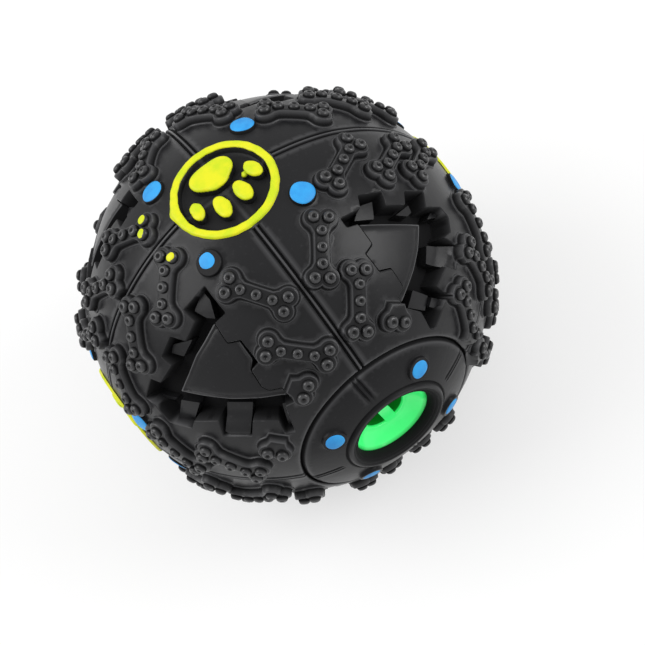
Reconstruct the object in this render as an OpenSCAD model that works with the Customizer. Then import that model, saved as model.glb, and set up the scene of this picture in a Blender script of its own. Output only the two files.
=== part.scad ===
// Treat dispensing ball with a gravity sounder inside.
// The origin is the ball's centre: the mouth faces -Y, the top paw print faces +Z.

/* [Ball skin] */
// Radius of the plain skin between the bones
ball_r = 55.4; // [50:0.1:62]
// Thickness of the soft wall
wall = 4; // [3.6:0.1:4.4]
// Half the distance between the two grooves of a seam
seam_half = 1; // [0.7:0.1:1.4]
// Width of a seam groove
seam_w = 0.5; // [0.4:0.1:0.7]
// Depth of a seam groove
seam_deep = 0.5; // [0.3:0.1:0.8]

/* [Bones] */
// How far a bone stands out of the skin
bone_rise = 2.3; // [1.5:0.1:3]
// Distance between the two lobe pairs of a bone
bone_span = 14.6; // [13:0.1:15]
// Radius of a bone's lobe
lobe_r = 2.6; // [2.2:0.1:2.9]
// Distance between the two lobes of a pair
lobe_gap = 3.6; // [3:0.1:4]
// Width of a bone's shank
shank_w = 4; // [3.6:0.1:4.6]

/* [Toothed pockets] */
// Half width of a pocket
pocket_reach = 20; // [18.5:0.1:20.6]
// Depth of the channel in a pocket
pocket_deep = 4.5; // [3.5:0.1:5]
// Depth of the smooth plate in a pocket
plate_deep = 1; // [0.6:0.1:1.5]
// Depth of the steps in the notches
step_deep = 2.6; // [2:0.1:3]

/* [Paw prints] */
// How far the flat painted faces lie inside the skin's radius
face_drop = 0.4; // [0.2:0.1:0.6]
// Thickness of the painted caps
paint_t = 0.4; // [0.3:0.1:0.6]
// Outer radius of the raised ring
ring_r = 14.1; // [13.4:0.1:14.6]
// Width of the raised ring
ring_w = 2.3; // [1.8:0.1:2.8]
// Depth of the ring's floor below its face
floor_deep = 2.4; // [1.8:0.1:2.8]
// How far the pads stay below the ring's face
pad_drop = 0.3; // [0.1:0.1:0.8]

/* [Blue dots] */
// Radius of a dot
dot_r = 3.1; // [2.6:0.1:3.4]
// How far a dot stands out of the skin
dot_rise = 1.6; // [1.2:0.1:2]
// Space between a dot and the ring of its paw print
dot_space = 2.65; // [2.2:0.05:3]

/* [Mouth collar] */
// Radius of the collar
collar_r = 26.2; // [25.6:0.1:26.6]
// Radius of the mouth
mouth_r = 11.2; // [10.6:0.1:11.6]
// Outer radius of the raised lip round the mouth
lip_r = 14.4; // [14:0.1:14.8]
// Length of the mouth's straight wall
mouth_len = 3.2; // [2.8:0.1:3.4]
// Rounding of the lip's inner edge
lip_edge = 0.6; // [0.4:0.1:0.8]
// Angle by which the collar sits turned against the seams
collar_turn = 6.9; // [0:0.1:12]
// Width of the ledge under the collar's rim
ledge_w = 2.9; // [2.6:0.1:3.2]
// Thickness of the collar's neck
neck_wall = 4.1; // [3.8:0.1:4.4]
// Thickness of the collar's rim at its edge
rim_t = 2; // [1.8:0.1:2.2]

/* [Dispensing dish] */
// Thickness of the dish's flange
dish_t = 2.1; // [1.8:0.1:2.4]
// Radius of the hole in the dish
hole_r = 6.8; // [6.4:0.1:7.2]
// Width of the bar across the hole
bar_w = 2.6; // [2.2:0.1:2.8]
// Thickness of the dish at the hole's edge
hole_edge_t = 1.42; // [1.2:0.02:1.7]

/* [Sounder tube] */
// Bore radius of the tube
tube_bore_r = 11.5; // [11:0.1:12]
// Thickness of the tube's wall
tube_wall = 1.5; // [1.2:0.1:1.6]
// Length of the tube
tube_len = 52; // [48:0.5:54]
// Thickness of the end caps
cap_t = 2; // [1.6:0.1:2.4]
// Length of an end cap's skirt
cap_skirt = 6; // [5:0.1:7]
// Thickness of an end cap's skirt
skirt_t = 1.3; // [1:0.1:1.5]
// Thickness of the socket's wall round the rear cap
socket_wall = 1.5; // [1.2:0.1:2]
// Thickness of the foam bumpers
bumper_t = 3; // [2:0.1:4]
// Radius of a vent hole
vent_r = 1.4; // [1:0.1:1.6]

/* [Sliding weight] */
// Thickness of the carrier's floor
carrier_floor = 2.4; // [2:0.1:3]
// Wall of the carrier
carrier_wall = 3; // [2.6:0.1:3.2]
// Length of the steel weight
weight_len = 10; // [9:0.1:10.5]
// Radius of the air passage through the weight
passage_r = 2.6; // [2:0.1:3]
// Length of the reed holder
holder_len = 3.6; // [3.2:0.1:4]
// Thickness of the reed
reed_t = 0.4; // [0.3:0.05:0.5]
// Width of the seal ring on the carrier
seal_w = 3; // [2:0.1:4]

/* [Fits] */
// Clearance between fixed pieces
fit_gap = 0.15; // [0.1:0.01:0.2]
// Radial clearance of the sliding weight in its tube
slide_gap = 0.35; // [0.25:0.01:0.45]
// Clearance between the sliding weight and a bumper at each end of its travel
stop_gap = 0.3; // [0.2:0.01:0.4]

/* [Hidden] */

black = [0.10, 0.10, 0.11];
blue = [0.25, 0.62, 0.90];
yellow = [0.88, 0.93, 0.16];
green = [0.16, 0.88, 0.40];
white_plastic = [0.90, 0.90, 0.88];
steel = [0.62, 0.63, 0.65];
foam = [0.35, 0.35, 0.37];
brass_gold = [0.80, 0.64, 0.32];

sphere_fn = 128;
round_fn = 96;
small_fn = 48;
overrun = ball_r * 0.1;

// Angle from a mouth-side pocket's middle to the equator
pocket_rise = asin(1 / sqrt(3));
// Height at which the prisms of pockets start, so that they reach below every floor
prism_from = ball_r * 0.76;
face_dist = ball_r - face_drop;
rib_face = face_dist - paint_t;
floor_face = face_dist - floor_deep;
pad_face = rib_face - pad_drop;
ring_in_r = ring_r - ring_w;
inner_r = ball_r - wall;
pocket_inner_r = ball_r - pocket_deep - wall;
boss_r = ring_r + wall / 2;
boss_face = floor_face - wall;
// Angle between a dot and the axis of its paw print
dot_angle = asin((ring_r + dot_space + dot_r) / ball_r);
// Where the stems of bones and dots start, below every floor
foot_r = ball_r - pocket_deep - wall / 2;

// Bones in degrees right and up from the pocket's middle, with their turn
right_bones = [
  [-13.8, 25.8, 17.6],
  [12, 25.1, -16.9],
  [-23.1, 12.4, 25],
  [19.3, 11.7, -22],
  [-11, -23.3, 60],
  [3.5, -23.8, 78],
  [17, -22.5, 52],
  [24.3, 1.2, -24]
];
left_bones = [
  [-12, 26.9, 90],
  [13.2, 25.8, -19],
  [-22.3, 13.1, -82.8],
  [22.5, 10.7, -14.6],
  [-29.9, -2.5, -71],
  [-16.8, -22.2, -50],
  [-3, -23.8, -75],
  [12.5, -23.2, -62]
];
// The lobe pairs that the pocket's corner cuts from their bones
right_stubs = [[-23.8, 0.4, 23]];
left_stubs = [[23.4, 0.3, 154]];

// A lobe pair and a shank of this length make a stub
stub_len = bone_span * 0.3;
lobe_steps = 4;
// Angle on a lobe at which the shank meets it
lobe_from = -180 + asin((shank_w - lobe_gap) / 2 / lobe_r);

function arc_points(middle, r, from, to, steps) =
  [for (i = [0:steps]) let (a = from + (to - from) * i / steps) middle + r * [cos(a), sin(a)]];

// Half of the two rounded lobes at the end that lies at x = end
function lobe_pair(end) = concat(
  arc_points([end, -lobe_gap / 2], lobe_r, lobe_from, 0, lobe_steps),
  arc_points([end, lobe_gap / 2], lobe_r, 0, -lobe_from, lobe_steps));

bone_outline = concat(lobe_pair(bone_span / 2), [for (p = lobe_pair(bone_span / 2)) -p]);
stub_outline = concat([for (p = lobe_pair(0)) -p], [[stub_len, -shank_w / 2], [stub_len, shank_w / 2]]);

// The toothed outline of a pocket, in shares of its half width
pocket_shares = [
  [0.126, 0.909], [0.203, 0.904], [0.411, 0.682], [0.551, 0.725], [0.653, 0.604], [0.672, 0.503],
  [0.604, 0.363], [0.604, 0.261], [0.764, 0.102], [0.948, 0.102], [0.967, -0.024], [0.967, -0.619],
  [0.658, -0.619], [0.658, -0.45], [0.29, -0.45], [0.29, -0.619], [-0.087, -0.619], [-0.087, -0.45],
  [-0.445, -0.45], [-0.445, -0.609], [-0.812, -0.59], [-0.967, -0.367], [-0.841, -0.058],
  [-0.503, 0.184], [-0.638, 0.329], [-0.474, 0.658], [-0.271, 0.609], [-0.126, 0.851],
  [-0.261, 1.015], [-0.019, 1.281], [0.242, 1.025]
];
// The smooth plate, which runs a little way under the skin along the crack
plate_shares = [
  [0.111, 0.84], [0.242, 0.948], [0.445, 0.754], [0.59, 0.783], [0.716, 0.619], [0.725, 0.484],
  [0.658, 0.348], [0.658, 0.29], [0.803, 0.155], [1.0, 0.145], [1.0, -0.044], [-0.338, -0.044],
  [-0.338, 0.068]
];
// The steps in the notches and in the arrowhead
step_shares = [
  [[-0.532, 0.725], [-0.701, 0.314], [-0.508, 0.222], [-0.348, 0.454], [-0.309, 0.648]],
  [[-0.895, 0], [-1.015, -0.387], [-0.774, -0.653], [-0.604, -0.653], [-0.604, -0.411], [-0.677, -0.193]],
  [[-0.039, -0.677], [0.242, -0.677], [0.242, -0.309], [-0.039, -0.309]],
  [[0.706, -0.677], [0.919, -0.677], [0.919, -0.29], [0.706, -0.29]],
  [[-0.14, 1.035], [0.126, 1.035], [-0.019, 1.17]]
];
// The thicker back of the wall behind a pocket
backing_shares = [
  [-0.29, 1.426], [0.266, 1.426], [1.16, 0.193], [1.16, -0.798], [-1.015, -0.798], [-1.16, -0.387]
];

// Half width and half height of the main pad, in shares of the ring's inner radius
pad_half_shares = [0.487, 0.364];
pad_half_w = pad_half_shares[0] * ring_in_r;
pad_half_h = pad_half_shares[1] * ring_in_r;
// Paw pads in shares of the main pad: middle, half sizes and turn
pad_shares = [
  [-1, -0.25], [-0.9, 0.25], [-0.6, 0.62], [-0.32, 0.92], [0, 1], [0.32, 0.92], [0.6, 0.62], [0.9, 0.25],
  [1, -0.25], [0.88, -0.7], [0.52, -0.97], [0, -1], [-0.52, -0.97], [-0.88, -0.7]
];
pad_place_share = -0.64;
toe_shares = [
  [-1.4, 0.384, 0.34, 0.66, 15],
  [-0.504, 1.337, 0.357, 0.767, 4],
  [0.53, 1.442, 0.33, 0.744, -8],
  [1.426, 0.721, 0.28, 0.663, -10]
];
toe_steps = 16;

// The collar's levels along the mouth's axis, and the dish that snaps into its neck
neck_r = collar_r - ledge_w;
hollow_r = neck_r - neck_wall;
dish_r = hollow_r - fit_gap * 2;
rim_seat = sqrt(ball_r * ball_r - collar_r * collar_r) - rim_t;
lip_round = face_dist - lip_edge;
dish_face = lip_round - mouth_len;
dish_seat = dish_face - mouth_len;
dish_back = dish_seat - dish_t;
dish_rim_r = mouth_r + dish_t * 0.3;
bead_t = dish_t * 0.4;
ledge_face = rim_seat - wall;
snap_t = wall * 0.25;
neck_end = ledge_face - fit_gap - snap_t;
snap_r = neck_r + wall * 0.3;
port_r = neck_r + fit_gap;
port_boss_r = sqrt(inner_r * inner_r - ledge_face * ledge_face);
// The collar's dots, in a share of the way from the lip to the edge
collar_dot_share = 0.424;
collar_dot_angle = asin((lip_r + (collar_r - lip_r) * collar_dot_share) / ball_r);
// The bowl's sphere runs through the dish's upper rim and the hole's edge
bowl_rim_r = mouth_r - fit_gap;
hole_edge = dish_back + hole_edge_t;
bowl_mid = (bowl_rim_r * bowl_rim_r - hole_r * hole_r + dish_face * dish_face - hole_edge * hole_edge)
  / 2 / (dish_face - hole_edge);
bowl_r = norm([bowl_rim_r, bowl_mid - dish_face]);
bar_top = hole_edge + dish_t * 0.2;
bar_t = dish_t * 0.8;

// The sounder's levels, counted from the boss on the rear wall
tube_r = tube_bore_r + tube_wall;
cap_r = tube_r + fit_gap + skirt_t;
tube_from = cap_t;
tube_to = tube_from + tube_len;
slide_from = tube_from + bumper_t;
slide_to = tube_to - bumper_t;
carrier_len = carrier_floor + weight_len + holder_len + cap_t;
weight_travel = slide_to - slide_from - carrier_len - stop_gap * 2;
carrier_r = tube_bore_r - slide_gap;
chamber_r = carrier_r - carrier_wall;
weight_r = chamber_r - fit_gap;
seal_groove = carrier_wall * 0.4;
socket_len = cap_skirt;
socket_r = cap_r + fit_gap + socket_wall;
vent_inset = bumper_t + vent_r * 2;
vent_count = 4;
grille_count = 6;
holder_slot_w = reed_t * 6;
reed_w = holder_slot_w + reed_t * 3;
reed_len = weight_r * 1.3;
holder_slot_len = reed_len - reed_t * 5;

echo(weight_travel = weight_travel);

// Places: one face of the ball, with the toes of its print towards local +Y
module on_top() { rotate([0, 0, 180]) children(); }
module on_bottom() { rotate([180, 0, 0]) children(); }
module on_right() { rotate([0, 90, 0]) rotate([0, 0, 180]) children(); }
module on_left() { rotate([0, -90, 0]) rotate([0, 0, 180]) children(); }
module on_rear() { rotate([-90, 0, 0]) rotate([0, 0, 180]) children(); }
module on_mouth() { rotate([90, 0, 0]) children(); }

// Each paw print's place
module on_prints() {
  on_top() children();
  on_bottom() children();
  on_right() children();
  on_left() children();
  on_rear() children();
}

// The four mouth-side and rear pockets of one half of the ball
module in_half(turn) {
  for (rear = [0, 1], below = [0, 1])
    mirror([0, rear, 0])
      mirror([0, 0, below])
        rotate([0, 0, turn])
          rotate([90 - pocket_rise, 0, 0])
            children();
}
module in_right_half() { in_half(45) children(); }
module in_left_half() { in_half(-45) children(); }

// Every pocket: the right half's are mirror images of the left half's
module in_pockets() {
  in_left_half() children();
  in_right_half() mirror([1, 0, 0]) children();
}

// A place given in degrees from the pocket's middle, with a turn there
module at_place(place) {
  rotate(norm([place[0], place[1]]), [-place[1], place[0], 0]) rotate([0, 0, place[2]]) children();
}

module skin(r) { sphere(r = r, $fn = sphere_fn); }

// A prism over an outline, from below every floor to outside the skin
module pocket_prism(shares) {
  translate([0, 0, prism_from])
    linear_extrude(height = ball_r + overrun - prism_from)
      polygon([for (s = shares) s * pocket_reach]);
}

// A raised bone that follows the skin
module bone(outline) {
  intersection() {
    translate([0, 0, ball_r - overrun / 2]) linear_extrude(height = overrun * 1.5) polygon(outline);
    skin(ball_r + bone_rise);
  }
}

module bones() {
  in_right_half() for (place = right_bones) at_place(place) bone(bone_outline);
  in_left_half() for (place = left_bones) at_place(place) bone(bone_outline);
  in_right_half() for (place = right_stubs) at_place(place) bone(stub_outline);
  in_left_half() for (place = left_stubs) at_place(place) bone(stub_outline);
}

// The two fine grooves of each of the three seams
module seam_grooves() {
  for (tilt = [[0, 0, 0], [90, 0, 0], [0, 90, 0]], side = [-1, 1])
    rotate(tilt)
      rotate_extrude($fn = sphere_fn)
        translate([ball_r - seam_deep, side * seam_half - seam_w / 2])
          square([overrun, seam_w]);
}

// A ring of four dots
module at_dots(angle, turn) {
  for (i = [0:3])
    rotate([0, 0, turn + 45 + 90 * i])
      rotate([0, angle, 0])
        children();
}
module dot_stem() {
  translate([0, 0, foot_r])
    cylinder(r = dot_r, h = ball_r - foot_r + dot_rise - paint_t, $fn = small_fn);
}
// The room that the bones leave round a dot's painted cap
module dot_room() {
  translate([0, 0, ball_r + dot_rise - paint_t])
    cylinder(r = dot_r + fit_gap, h = overrun, $fn = small_fn);
}
module dot_cap() {
  translate([0, 0, ball_r + dot_rise - paint_t]) cylinder(r = dot_r, h = paint_t, $fn = small_fn);
}

module toe(share) {
  translate([share[0] * pad_half_w, share[1] * pad_half_h])
    rotate([0, 0, share[4]])
      polygon([for (i = [0:toe_steps - 1]) let (a = 360 * i / toe_steps)
        [share[2] * pad_half_w * cos(a), share[3] * pad_half_h * sin(a)]]);
}
module main_pad() {
  translate([0, pad_place_share * pad_half_h])
    polygon([for (s = pad_shares) [s[0] * pad_half_w, s[1] * pad_half_h]]);
}
// The ring and pads between two levels
module print_ring(from, to) {
  translate([0, 0, from]) difference() {
    cylinder(r = ring_r, h = to - from, $fn = round_fn);
    translate([0, 0, -overrun]) cylinder(r = ring_in_r, h = to - from + overrun * 2, $fn = round_fn);
  }
}
module print_pads(from, to) {
  translate([0, 0, from]) linear_extrude(height = to - from) main_pad();
  for (share = toe_shares)
    translate([0, 0, from]) linear_extrude(height = to - from) toe(share);
}

// The hollow inside, with the backs of pockets, prints, port and sounder left in
module cavity() {
  difference() {
    union() {
      skin(pocket_inner_r);
      difference() {
        skin(inner_r);
        in_pockets() pocket_prism(backing_shares);
      }
    }
    on_prints() translate([0, 0, boss_face]) cylinder(r = boss_r, h = overrun * 2, $fn = round_fn);
    on_mouth() translate([0, 0, ledge_face]) cylinder(r = port_boss_r, h = overrun * 2, $fn = round_fn);
    on_rear() translate([0, 0, boss_face - socket_len]) difference() {
      cylinder(r = socket_r, h = socket_len + overrun, $fn = round_fn);
      translate([0, 0, -overrun])
        cylinder(r = cap_r + fit_gap, h = socket_len + overrun, $fn = round_fn);
    }
  }
}

module ball_shell() {
  color(black) difference() {
    union() {
      skin(ball_r - pocket_deep);
      difference() {
        skin(ball_r);
        seam_grooves();
        in_pockets() pocket_prism(pocket_shares);
        on_prints() translate([0, 0, floor_face]) cylinder(r = ring_in_r, h = overrun, $fn = round_fn);
      }
      intersection() {
        skin(ball_r - plate_deep);
        in_pockets() pocket_prism(plate_shares);
      }
      intersection() {
        skin(ball_r - step_deep);
        in_pockets() for (step = step_shares) pocket_prism(step);
      }
      difference() {
        bones();
        on_prints() at_dots(dot_angle, 0) dot_room();
      }
      on_prints() print_ring(floor_face - overrun / 2, rib_face);
      on_prints() print_pads(floor_face - overrun / 2, pad_face);
      on_prints() at_dots(dot_angle, 0) dot_stem();
    }
    cavity();
    on_mouth() translate([0, 0, prism_from / 2]) cylinder(r = port_r, h = ball_r, $fn = round_fn);
    on_mouth() translate([0, 0, rim_seat])
      cylinder(r = collar_r + fit_gap, h = ball_r, $fn = round_fn);
    on_mouth() translate([0, 0, prism_from / 2])
      cylinder(r = snap_r + fit_gap * 2, h = ledge_face - prism_from / 2, $fn = round_fn);
  }
}

// The two grooves of each radial seam on the collar
module collar_grooves() {
  difference() {
    for (i = [0:3], side = [-1, 1])
      rotate([0, 0, 90 * i])
        translate([lip_r - overrun / 4, side * seam_half - seam_w / 2, rim_seat])
          cube([collar_r, seam_w, overrun * 2]);
    skin(ball_r - seam_deep);
  }
}

module mouth_collar() {
  color(black) on_mouth() rotate([0, 0, collar_turn]) difference() {
    union() {
      difference() {
        intersection() {
          skin(ball_r);
          translate([0, 0, rim_seat]) cylinder(r = collar_r, h = overrun * 3, $fn = round_fn);
        }
        collar_grooves();
      }
      translate([0, 0, rim_seat]) cylinder(r = lip_r, h = face_dist - rim_seat, $fn = round_fn);
      translate([0, 0, neck_end]) cylinder(r = neck_r, h = rim_seat - neck_end + rim_t, $fn = round_fn);
      translate([0, 0, neck_end]) cylinder(r = snap_r, h = snap_t, $fn = round_fn);
      at_dots(collar_dot_angle, 0) dot_stem();
    }
    translate([0, 0, neck_end - overrun])
      cylinder(r = hollow_r, h = dish_back - bead_t - neck_end + overrun, $fn = round_fn);
    translate([0, 0, dish_back - bead_t - overrun / 2])
      cylinder(r = dish_r - bead_t, h = overrun, $fn = round_fn);
    translate([0, 0, dish_back - fit_gap])
      cylinder(r = hollow_r, h = dish_seat - dish_back + fit_gap, $fn = round_fn);
    translate([0, 0, dish_back])
      cylinder(r = dish_rim_r + fit_gap, h = dish_face - dish_back, $fn = round_fn);
    translate([0, 0, dish_back]) cylinder(r = mouth_r, h = overrun * 3, $fn = round_fn);
    translate([0, 0, lip_round])
      cylinder(r1 = mouth_r, r2 = mouth_r + lip_edge, h = lip_edge, $fn = round_fn);
  }
}

module dispensing_dish() {
  color(green) on_mouth() rotate([0, 0, collar_turn]) {
    difference() {
      union() {
        translate([0, 0, dish_back]) cylinder(r = dish_r, h = dish_t, $fn = round_fn);
        translate([0, 0, dish_back]) cylinder(r = dish_rim_r, h = dish_face - dish_back, $fn = round_fn);
      }
      translate([0, 0, bowl_mid]) sphere(r = bowl_r, $fn = sphere_fn);
      translate([0, 0, dish_back - overrun]) cylinder(r = hole_r, h = overrun * 3, $fn = round_fn);
    }
    intersection() {
      translate([0, 0, bar_top - bar_t]) cylinder(r = hole_r + bar_t / 4, h = bar_t, $fn = round_fn);
      translate([-bar_w / 2, -overrun * 2, bar_top - bar_t]) cube([bar_w, overrun * 4, bar_t]);
    }
  }
}

module blue_dots() { color(blue) on_prints() at_dots(dot_angle, 0) dot_cap(); }
module collar_dots() { color(blue) on_mouth() at_dots(collar_dot_angle, collar_turn) dot_cap(); }

module paw_print() {
  print_ring(rib_face, face_dist);
  print_pads(pad_face, pad_face + paint_t);
}
module top_paw_print() { color(yellow) on_top() paw_print(); }
module bottom_paw_print() { color(yellow) on_bottom() paw_print(); }
module left_paw_print() { color(yellow) on_left() paw_print(); }
module right_paw_print() { color(yellow) on_right() paw_print(); }
module rear_paw_print() { color(yellow) on_rear() paw_print(); }

// The sounder lies along Y: local Z starts at the rear boss and runs to the mouth
module in_sounder() { translate([0, boss_face, 0]) rotate([90, 0, 0]) children(); }
module pipe(r, bore, from, to) {
  translate([0, 0, from]) difference() {
    cylinder(r = r, h = to - from, $fn = round_fn);
    translate([0, 0, -overrun]) cylinder(r = bore, h = to - from + overrun * 2, $fn = round_fn);
  }
}

module sound_tube() {
  color(white_plastic) in_sounder() difference() {
    pipe(tube_r, tube_bore_r, tube_from, tube_to);
    for (i = [0:vent_count - 1], level = [tube_from + cap_skirt + vent_inset, tube_to - cap_skirt - vent_inset])
      translate([0, 0, level])
        rotate([0, 90, 45 + 360 * i / vent_count])
          cylinder(r = vent_r, h = tube_r + overrun, $fn = small_fn);
  }
}
module tube_rear_cap() {
  color(white_plastic) in_sounder() {
    difference() {
      cylinder(r = cap_r, h = cap_t + cap_skirt, $fn = round_fn);
      translate([0, 0, cap_t]) cylinder(r = tube_r + fit_gap, h = cap_skirt + overrun, $fn = round_fn);
    }
  }
}
module tube_front_cap() {
  color(white_plastic) in_sounder() difference() {
    translate([0, 0, tube_to - cap_skirt]) cylinder(r = cap_r, h = cap_t + cap_skirt, $fn = round_fn);
    translate([0, 0, tube_to - cap_skirt - overrun])
      cylinder(r = tube_r + fit_gap, h = cap_skirt + overrun, $fn = round_fn);
    for (i = [0:grille_count - 1])
      rotate([0, 0, 360 * i / grille_count])
        translate([tube_bore_r / 2, 0, tube_to - overrun])
          cylinder(r = vent_r, h = overrun * 2, $fn = small_fn);
  }
}
module rear_bumper() {
  color(foam) in_sounder() pipe(tube_bore_r - fit_gap, tube_bore_r * 0.75, tube_from, slide_from);
}
module front_bumper() {
  color(foam) in_sounder() pipe(tube_bore_r - fit_gap, tube_bore_r * 0.75, slide_to, tube_to);
}

// The sliding group: local Z starts at the carrier's rear face
module in_carrier() { in_sounder() translate([0, 0, slide_from + stop_gap]) children(); }
module weight_carrier() {
  color(blue) in_carrier() difference() {
    cylinder(r = carrier_r, h = carrier_len, $fn = round_fn);
    translate([0, 0, carrier_floor]) cylinder(r = chamber_r, h = carrier_len, $fn = round_fn);
    translate([0, 0, -overrun]) cylinder(r = passage_r, h = carrier_len, $fn = round_fn);
    pipe(carrier_r + overrun, carrier_r - seal_groove, (carrier_len - seal_w) / 2,
      (carrier_len + seal_w) / 2);
  }
}
module carrier_seal() {
  color(foam) in_carrier()
    pipe(carrier_r + slide_gap / 2, carrier_r - seal_groove + fit_gap / 2,
      (carrier_len - seal_w) / 2 + fit_gap, (carrier_len + seal_w) / 2 - fit_gap);
}
module steel_weight() {
  color(steel) in_carrier() pipe(weight_r, passage_r, carrier_floor, carrier_floor + weight_len);
}
module reed_holder() {
  color(white_plastic) in_carrier() translate([0, 0, carrier_floor + weight_len]) difference() {
    cylinder(r = weight_r, h = holder_len, $fn = round_fn);
    translate([-holder_slot_w / 2, -holder_slot_len / 2, -overrun])
      cube([holder_slot_w, holder_slot_len, overrun * 2]);
    translate([-reed_w / 2 - fit_gap, -reed_len / 2 - fit_gap, holder_len - reed_t * 3])
      cube([reed_w + fit_gap * 2, reed_len + fit_gap * 2, overrun]);
  }
}
module sound_reed() {
  color(brass_gold) in_carrier()
    translate([-reed_w / 2, -reed_len / 2, carrier_floor + weight_len + holder_len - reed_t * 3])
      cube([reed_w, reed_len, reed_t]);
}
module carrier_cap() {
  color(white_plastic) in_carrier() pipe(weight_r, passage_r, carrier_len - cap_t, carrier_len);
}

ball_shell();
mouth_collar();
dispensing_dish();
blue_dots();
collar_dots();
top_paw_print();
bottom_paw_print();
left_paw_print();
right_paw_print();
rear_paw_print();
sound_tube();
tube_rear_cap();
tube_front_cap();
rear_bumper();
front_bumper();
weight_carrier();
carrier_seal();
steel_weight();
reed_holder();
sound_reed();
carrier_cap();
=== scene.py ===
import math

import bmesh
import bpy
import numpy as np
from mathutils import Matrix, Vector
from mathutils.geometry import delaunay_2d_cdt


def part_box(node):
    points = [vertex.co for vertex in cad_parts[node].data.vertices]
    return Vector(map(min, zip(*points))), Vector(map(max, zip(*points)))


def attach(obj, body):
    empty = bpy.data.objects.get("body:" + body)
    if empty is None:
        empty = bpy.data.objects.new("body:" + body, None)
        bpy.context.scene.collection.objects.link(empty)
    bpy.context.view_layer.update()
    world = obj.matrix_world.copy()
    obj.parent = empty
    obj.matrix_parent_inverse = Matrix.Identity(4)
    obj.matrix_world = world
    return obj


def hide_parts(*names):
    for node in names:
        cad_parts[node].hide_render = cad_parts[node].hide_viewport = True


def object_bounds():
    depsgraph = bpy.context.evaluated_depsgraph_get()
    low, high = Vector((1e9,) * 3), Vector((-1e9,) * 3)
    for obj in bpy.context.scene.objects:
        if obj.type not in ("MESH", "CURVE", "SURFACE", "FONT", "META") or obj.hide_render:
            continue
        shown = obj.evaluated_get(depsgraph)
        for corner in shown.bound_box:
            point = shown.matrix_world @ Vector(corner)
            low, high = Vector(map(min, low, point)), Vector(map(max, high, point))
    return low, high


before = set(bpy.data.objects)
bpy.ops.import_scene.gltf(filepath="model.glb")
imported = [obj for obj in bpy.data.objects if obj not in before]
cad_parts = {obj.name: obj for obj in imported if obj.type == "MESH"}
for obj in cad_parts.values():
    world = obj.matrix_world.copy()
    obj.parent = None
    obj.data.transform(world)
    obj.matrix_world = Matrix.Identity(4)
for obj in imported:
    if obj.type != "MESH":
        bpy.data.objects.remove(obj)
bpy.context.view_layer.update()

# Treat dispensing ball. Every length here is in millimetres until a mesh is made.
# The origin is the ball's centre, the mouth faces -Y and the top paw print +Z.
mm = 0.001

# The photograph's camera, found from the seams, rings and dots
shot = {
    "toCamera": (-0.0691, -0.5485, 0.8333),
    "up": (0.6009, 0.6439, 0.4737),
    "distance": 0.391,
    "lens": 78.2,
    "sensor": 36.0,
    "shift": (0.0563, -0.0468),
    "clip": (0.02, 20.0),
}


def addObject(name, data):
    made = bpy.data.objects.new(name, data)
    bpy.context.scene.collection.objects.link(made)
    return made


def makeCamera():
    data = bpy.data.cameras.new("camera")
    data.lens = shot["lens"]
    data.sensor_width = shot["sensor"]
    data.shift_x, data.shift_y = shot["shift"]
    data.clip_start, data.clip_end = shot["clip"]
    camera = addObject("camera", data)
    back = Vector(shot["toCamera"]).normalized()
    right = Vector(shot["up"]).cross(back).normalized()
    turn = Matrix((right, back.cross(right), back)).transposed().to_4x4()
    camera.matrix_world = Matrix.Translation(back * shot["distance"]) @ turn
    bpy.context.scene.camera = camera


makeCamera()
print("camera placed")


# Shader expressions: a socket that takes part in sums
class Wire:
    def __init__(self, tree, socket):
        self.tree = tree
        self.socket = socket

    def node(self, kind, settings=None, values=None, out=0):
        made = self.tree.nodes.new(kind)
        for name, value in (settings or {}).items():
            setattr(made, name, value)
        setInputs(made, values or {})
        return Wire(self.tree, made.outputs[out])

    def maths(self, operation, *values, clamp=False):
        settings = {"operation": operation, "use_clamp": clamp}
        return self.node("ShaderNodeMath", settings, dict(enumerate(values)))

    def __add__(self, other):
        return self.maths("ADD", self, other)

    def __radd__(self, other):
        return self.maths("ADD", other, self)

    def __sub__(self, other):
        return self.maths("SUBTRACT", self, other)

    def __rsub__(self, other):
        return self.maths("SUBTRACT", other, self)

    def __mul__(self, other):
        return self.maths("MULTIPLY", self, other)

    def __rmul__(self, other):
        return self.maths("MULTIPLY", other, self)

    def clamp(self):
        return self.maths("ADD", self, 0.0, clamp=True)

    def ramp(self, low, high):
        return self.node("ShaderNodeMapRange", {}, {"Value": self, "From Min": low, "From Max": high})

    def mixed(self, first, second):
        # The node's sockets for colours: two inputs and one output
        return self.node("ShaderNodeMix", {"data_type": "RGBA"}, {0: self, 6: first, 7: second}, 2)


def setInputs(node, values):
    for name, value in values.items():
        socket = node.inputs[name]
        if isinstance(value, Wire):
            value.tree.links.new(value.socket, socket)
        elif socket.type == "RGBA":
            socket.default_value = (*value, 1)
        else:
            socket.default_value = value


def startMaterial(name):
    material = bpy.data.materials.new(name)
    material.use_nodes = True
    tree = material.node_tree
    place = Wire(tree, tree.nodes.new("ShaderNodeTexCoord").outputs["Object"])
    return material, tree.nodes["Principled BSDF"], place


def showBlend(share, first, second, output="Material Output"):
    # What is seen is the first shader, and the second by this share
    blend = share.node("ShaderNodeMixShader", {}, {0: share, 1: first, 2: second})
    setInputs(share.tree.nodes[output], {"Surface": blend})


def noise(place, scale, detail=3.0, roughness=0.55):
    values = {"Vector": place, "Scale": scale, "Detail": detail, "Roughness": roughness}
    return place.node("ShaderNodeTexNoise", {}, values, "Fac")


def bump(height, strength, distance):
    return height.node("ShaderNodeBump", {}, {"Height": height, "Strength": strength, "Distance": distance})


def attribute(place, name):
    return place.node("ShaderNodeAttribute", {"attribute_name": name}, {}, "Fac")


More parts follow.
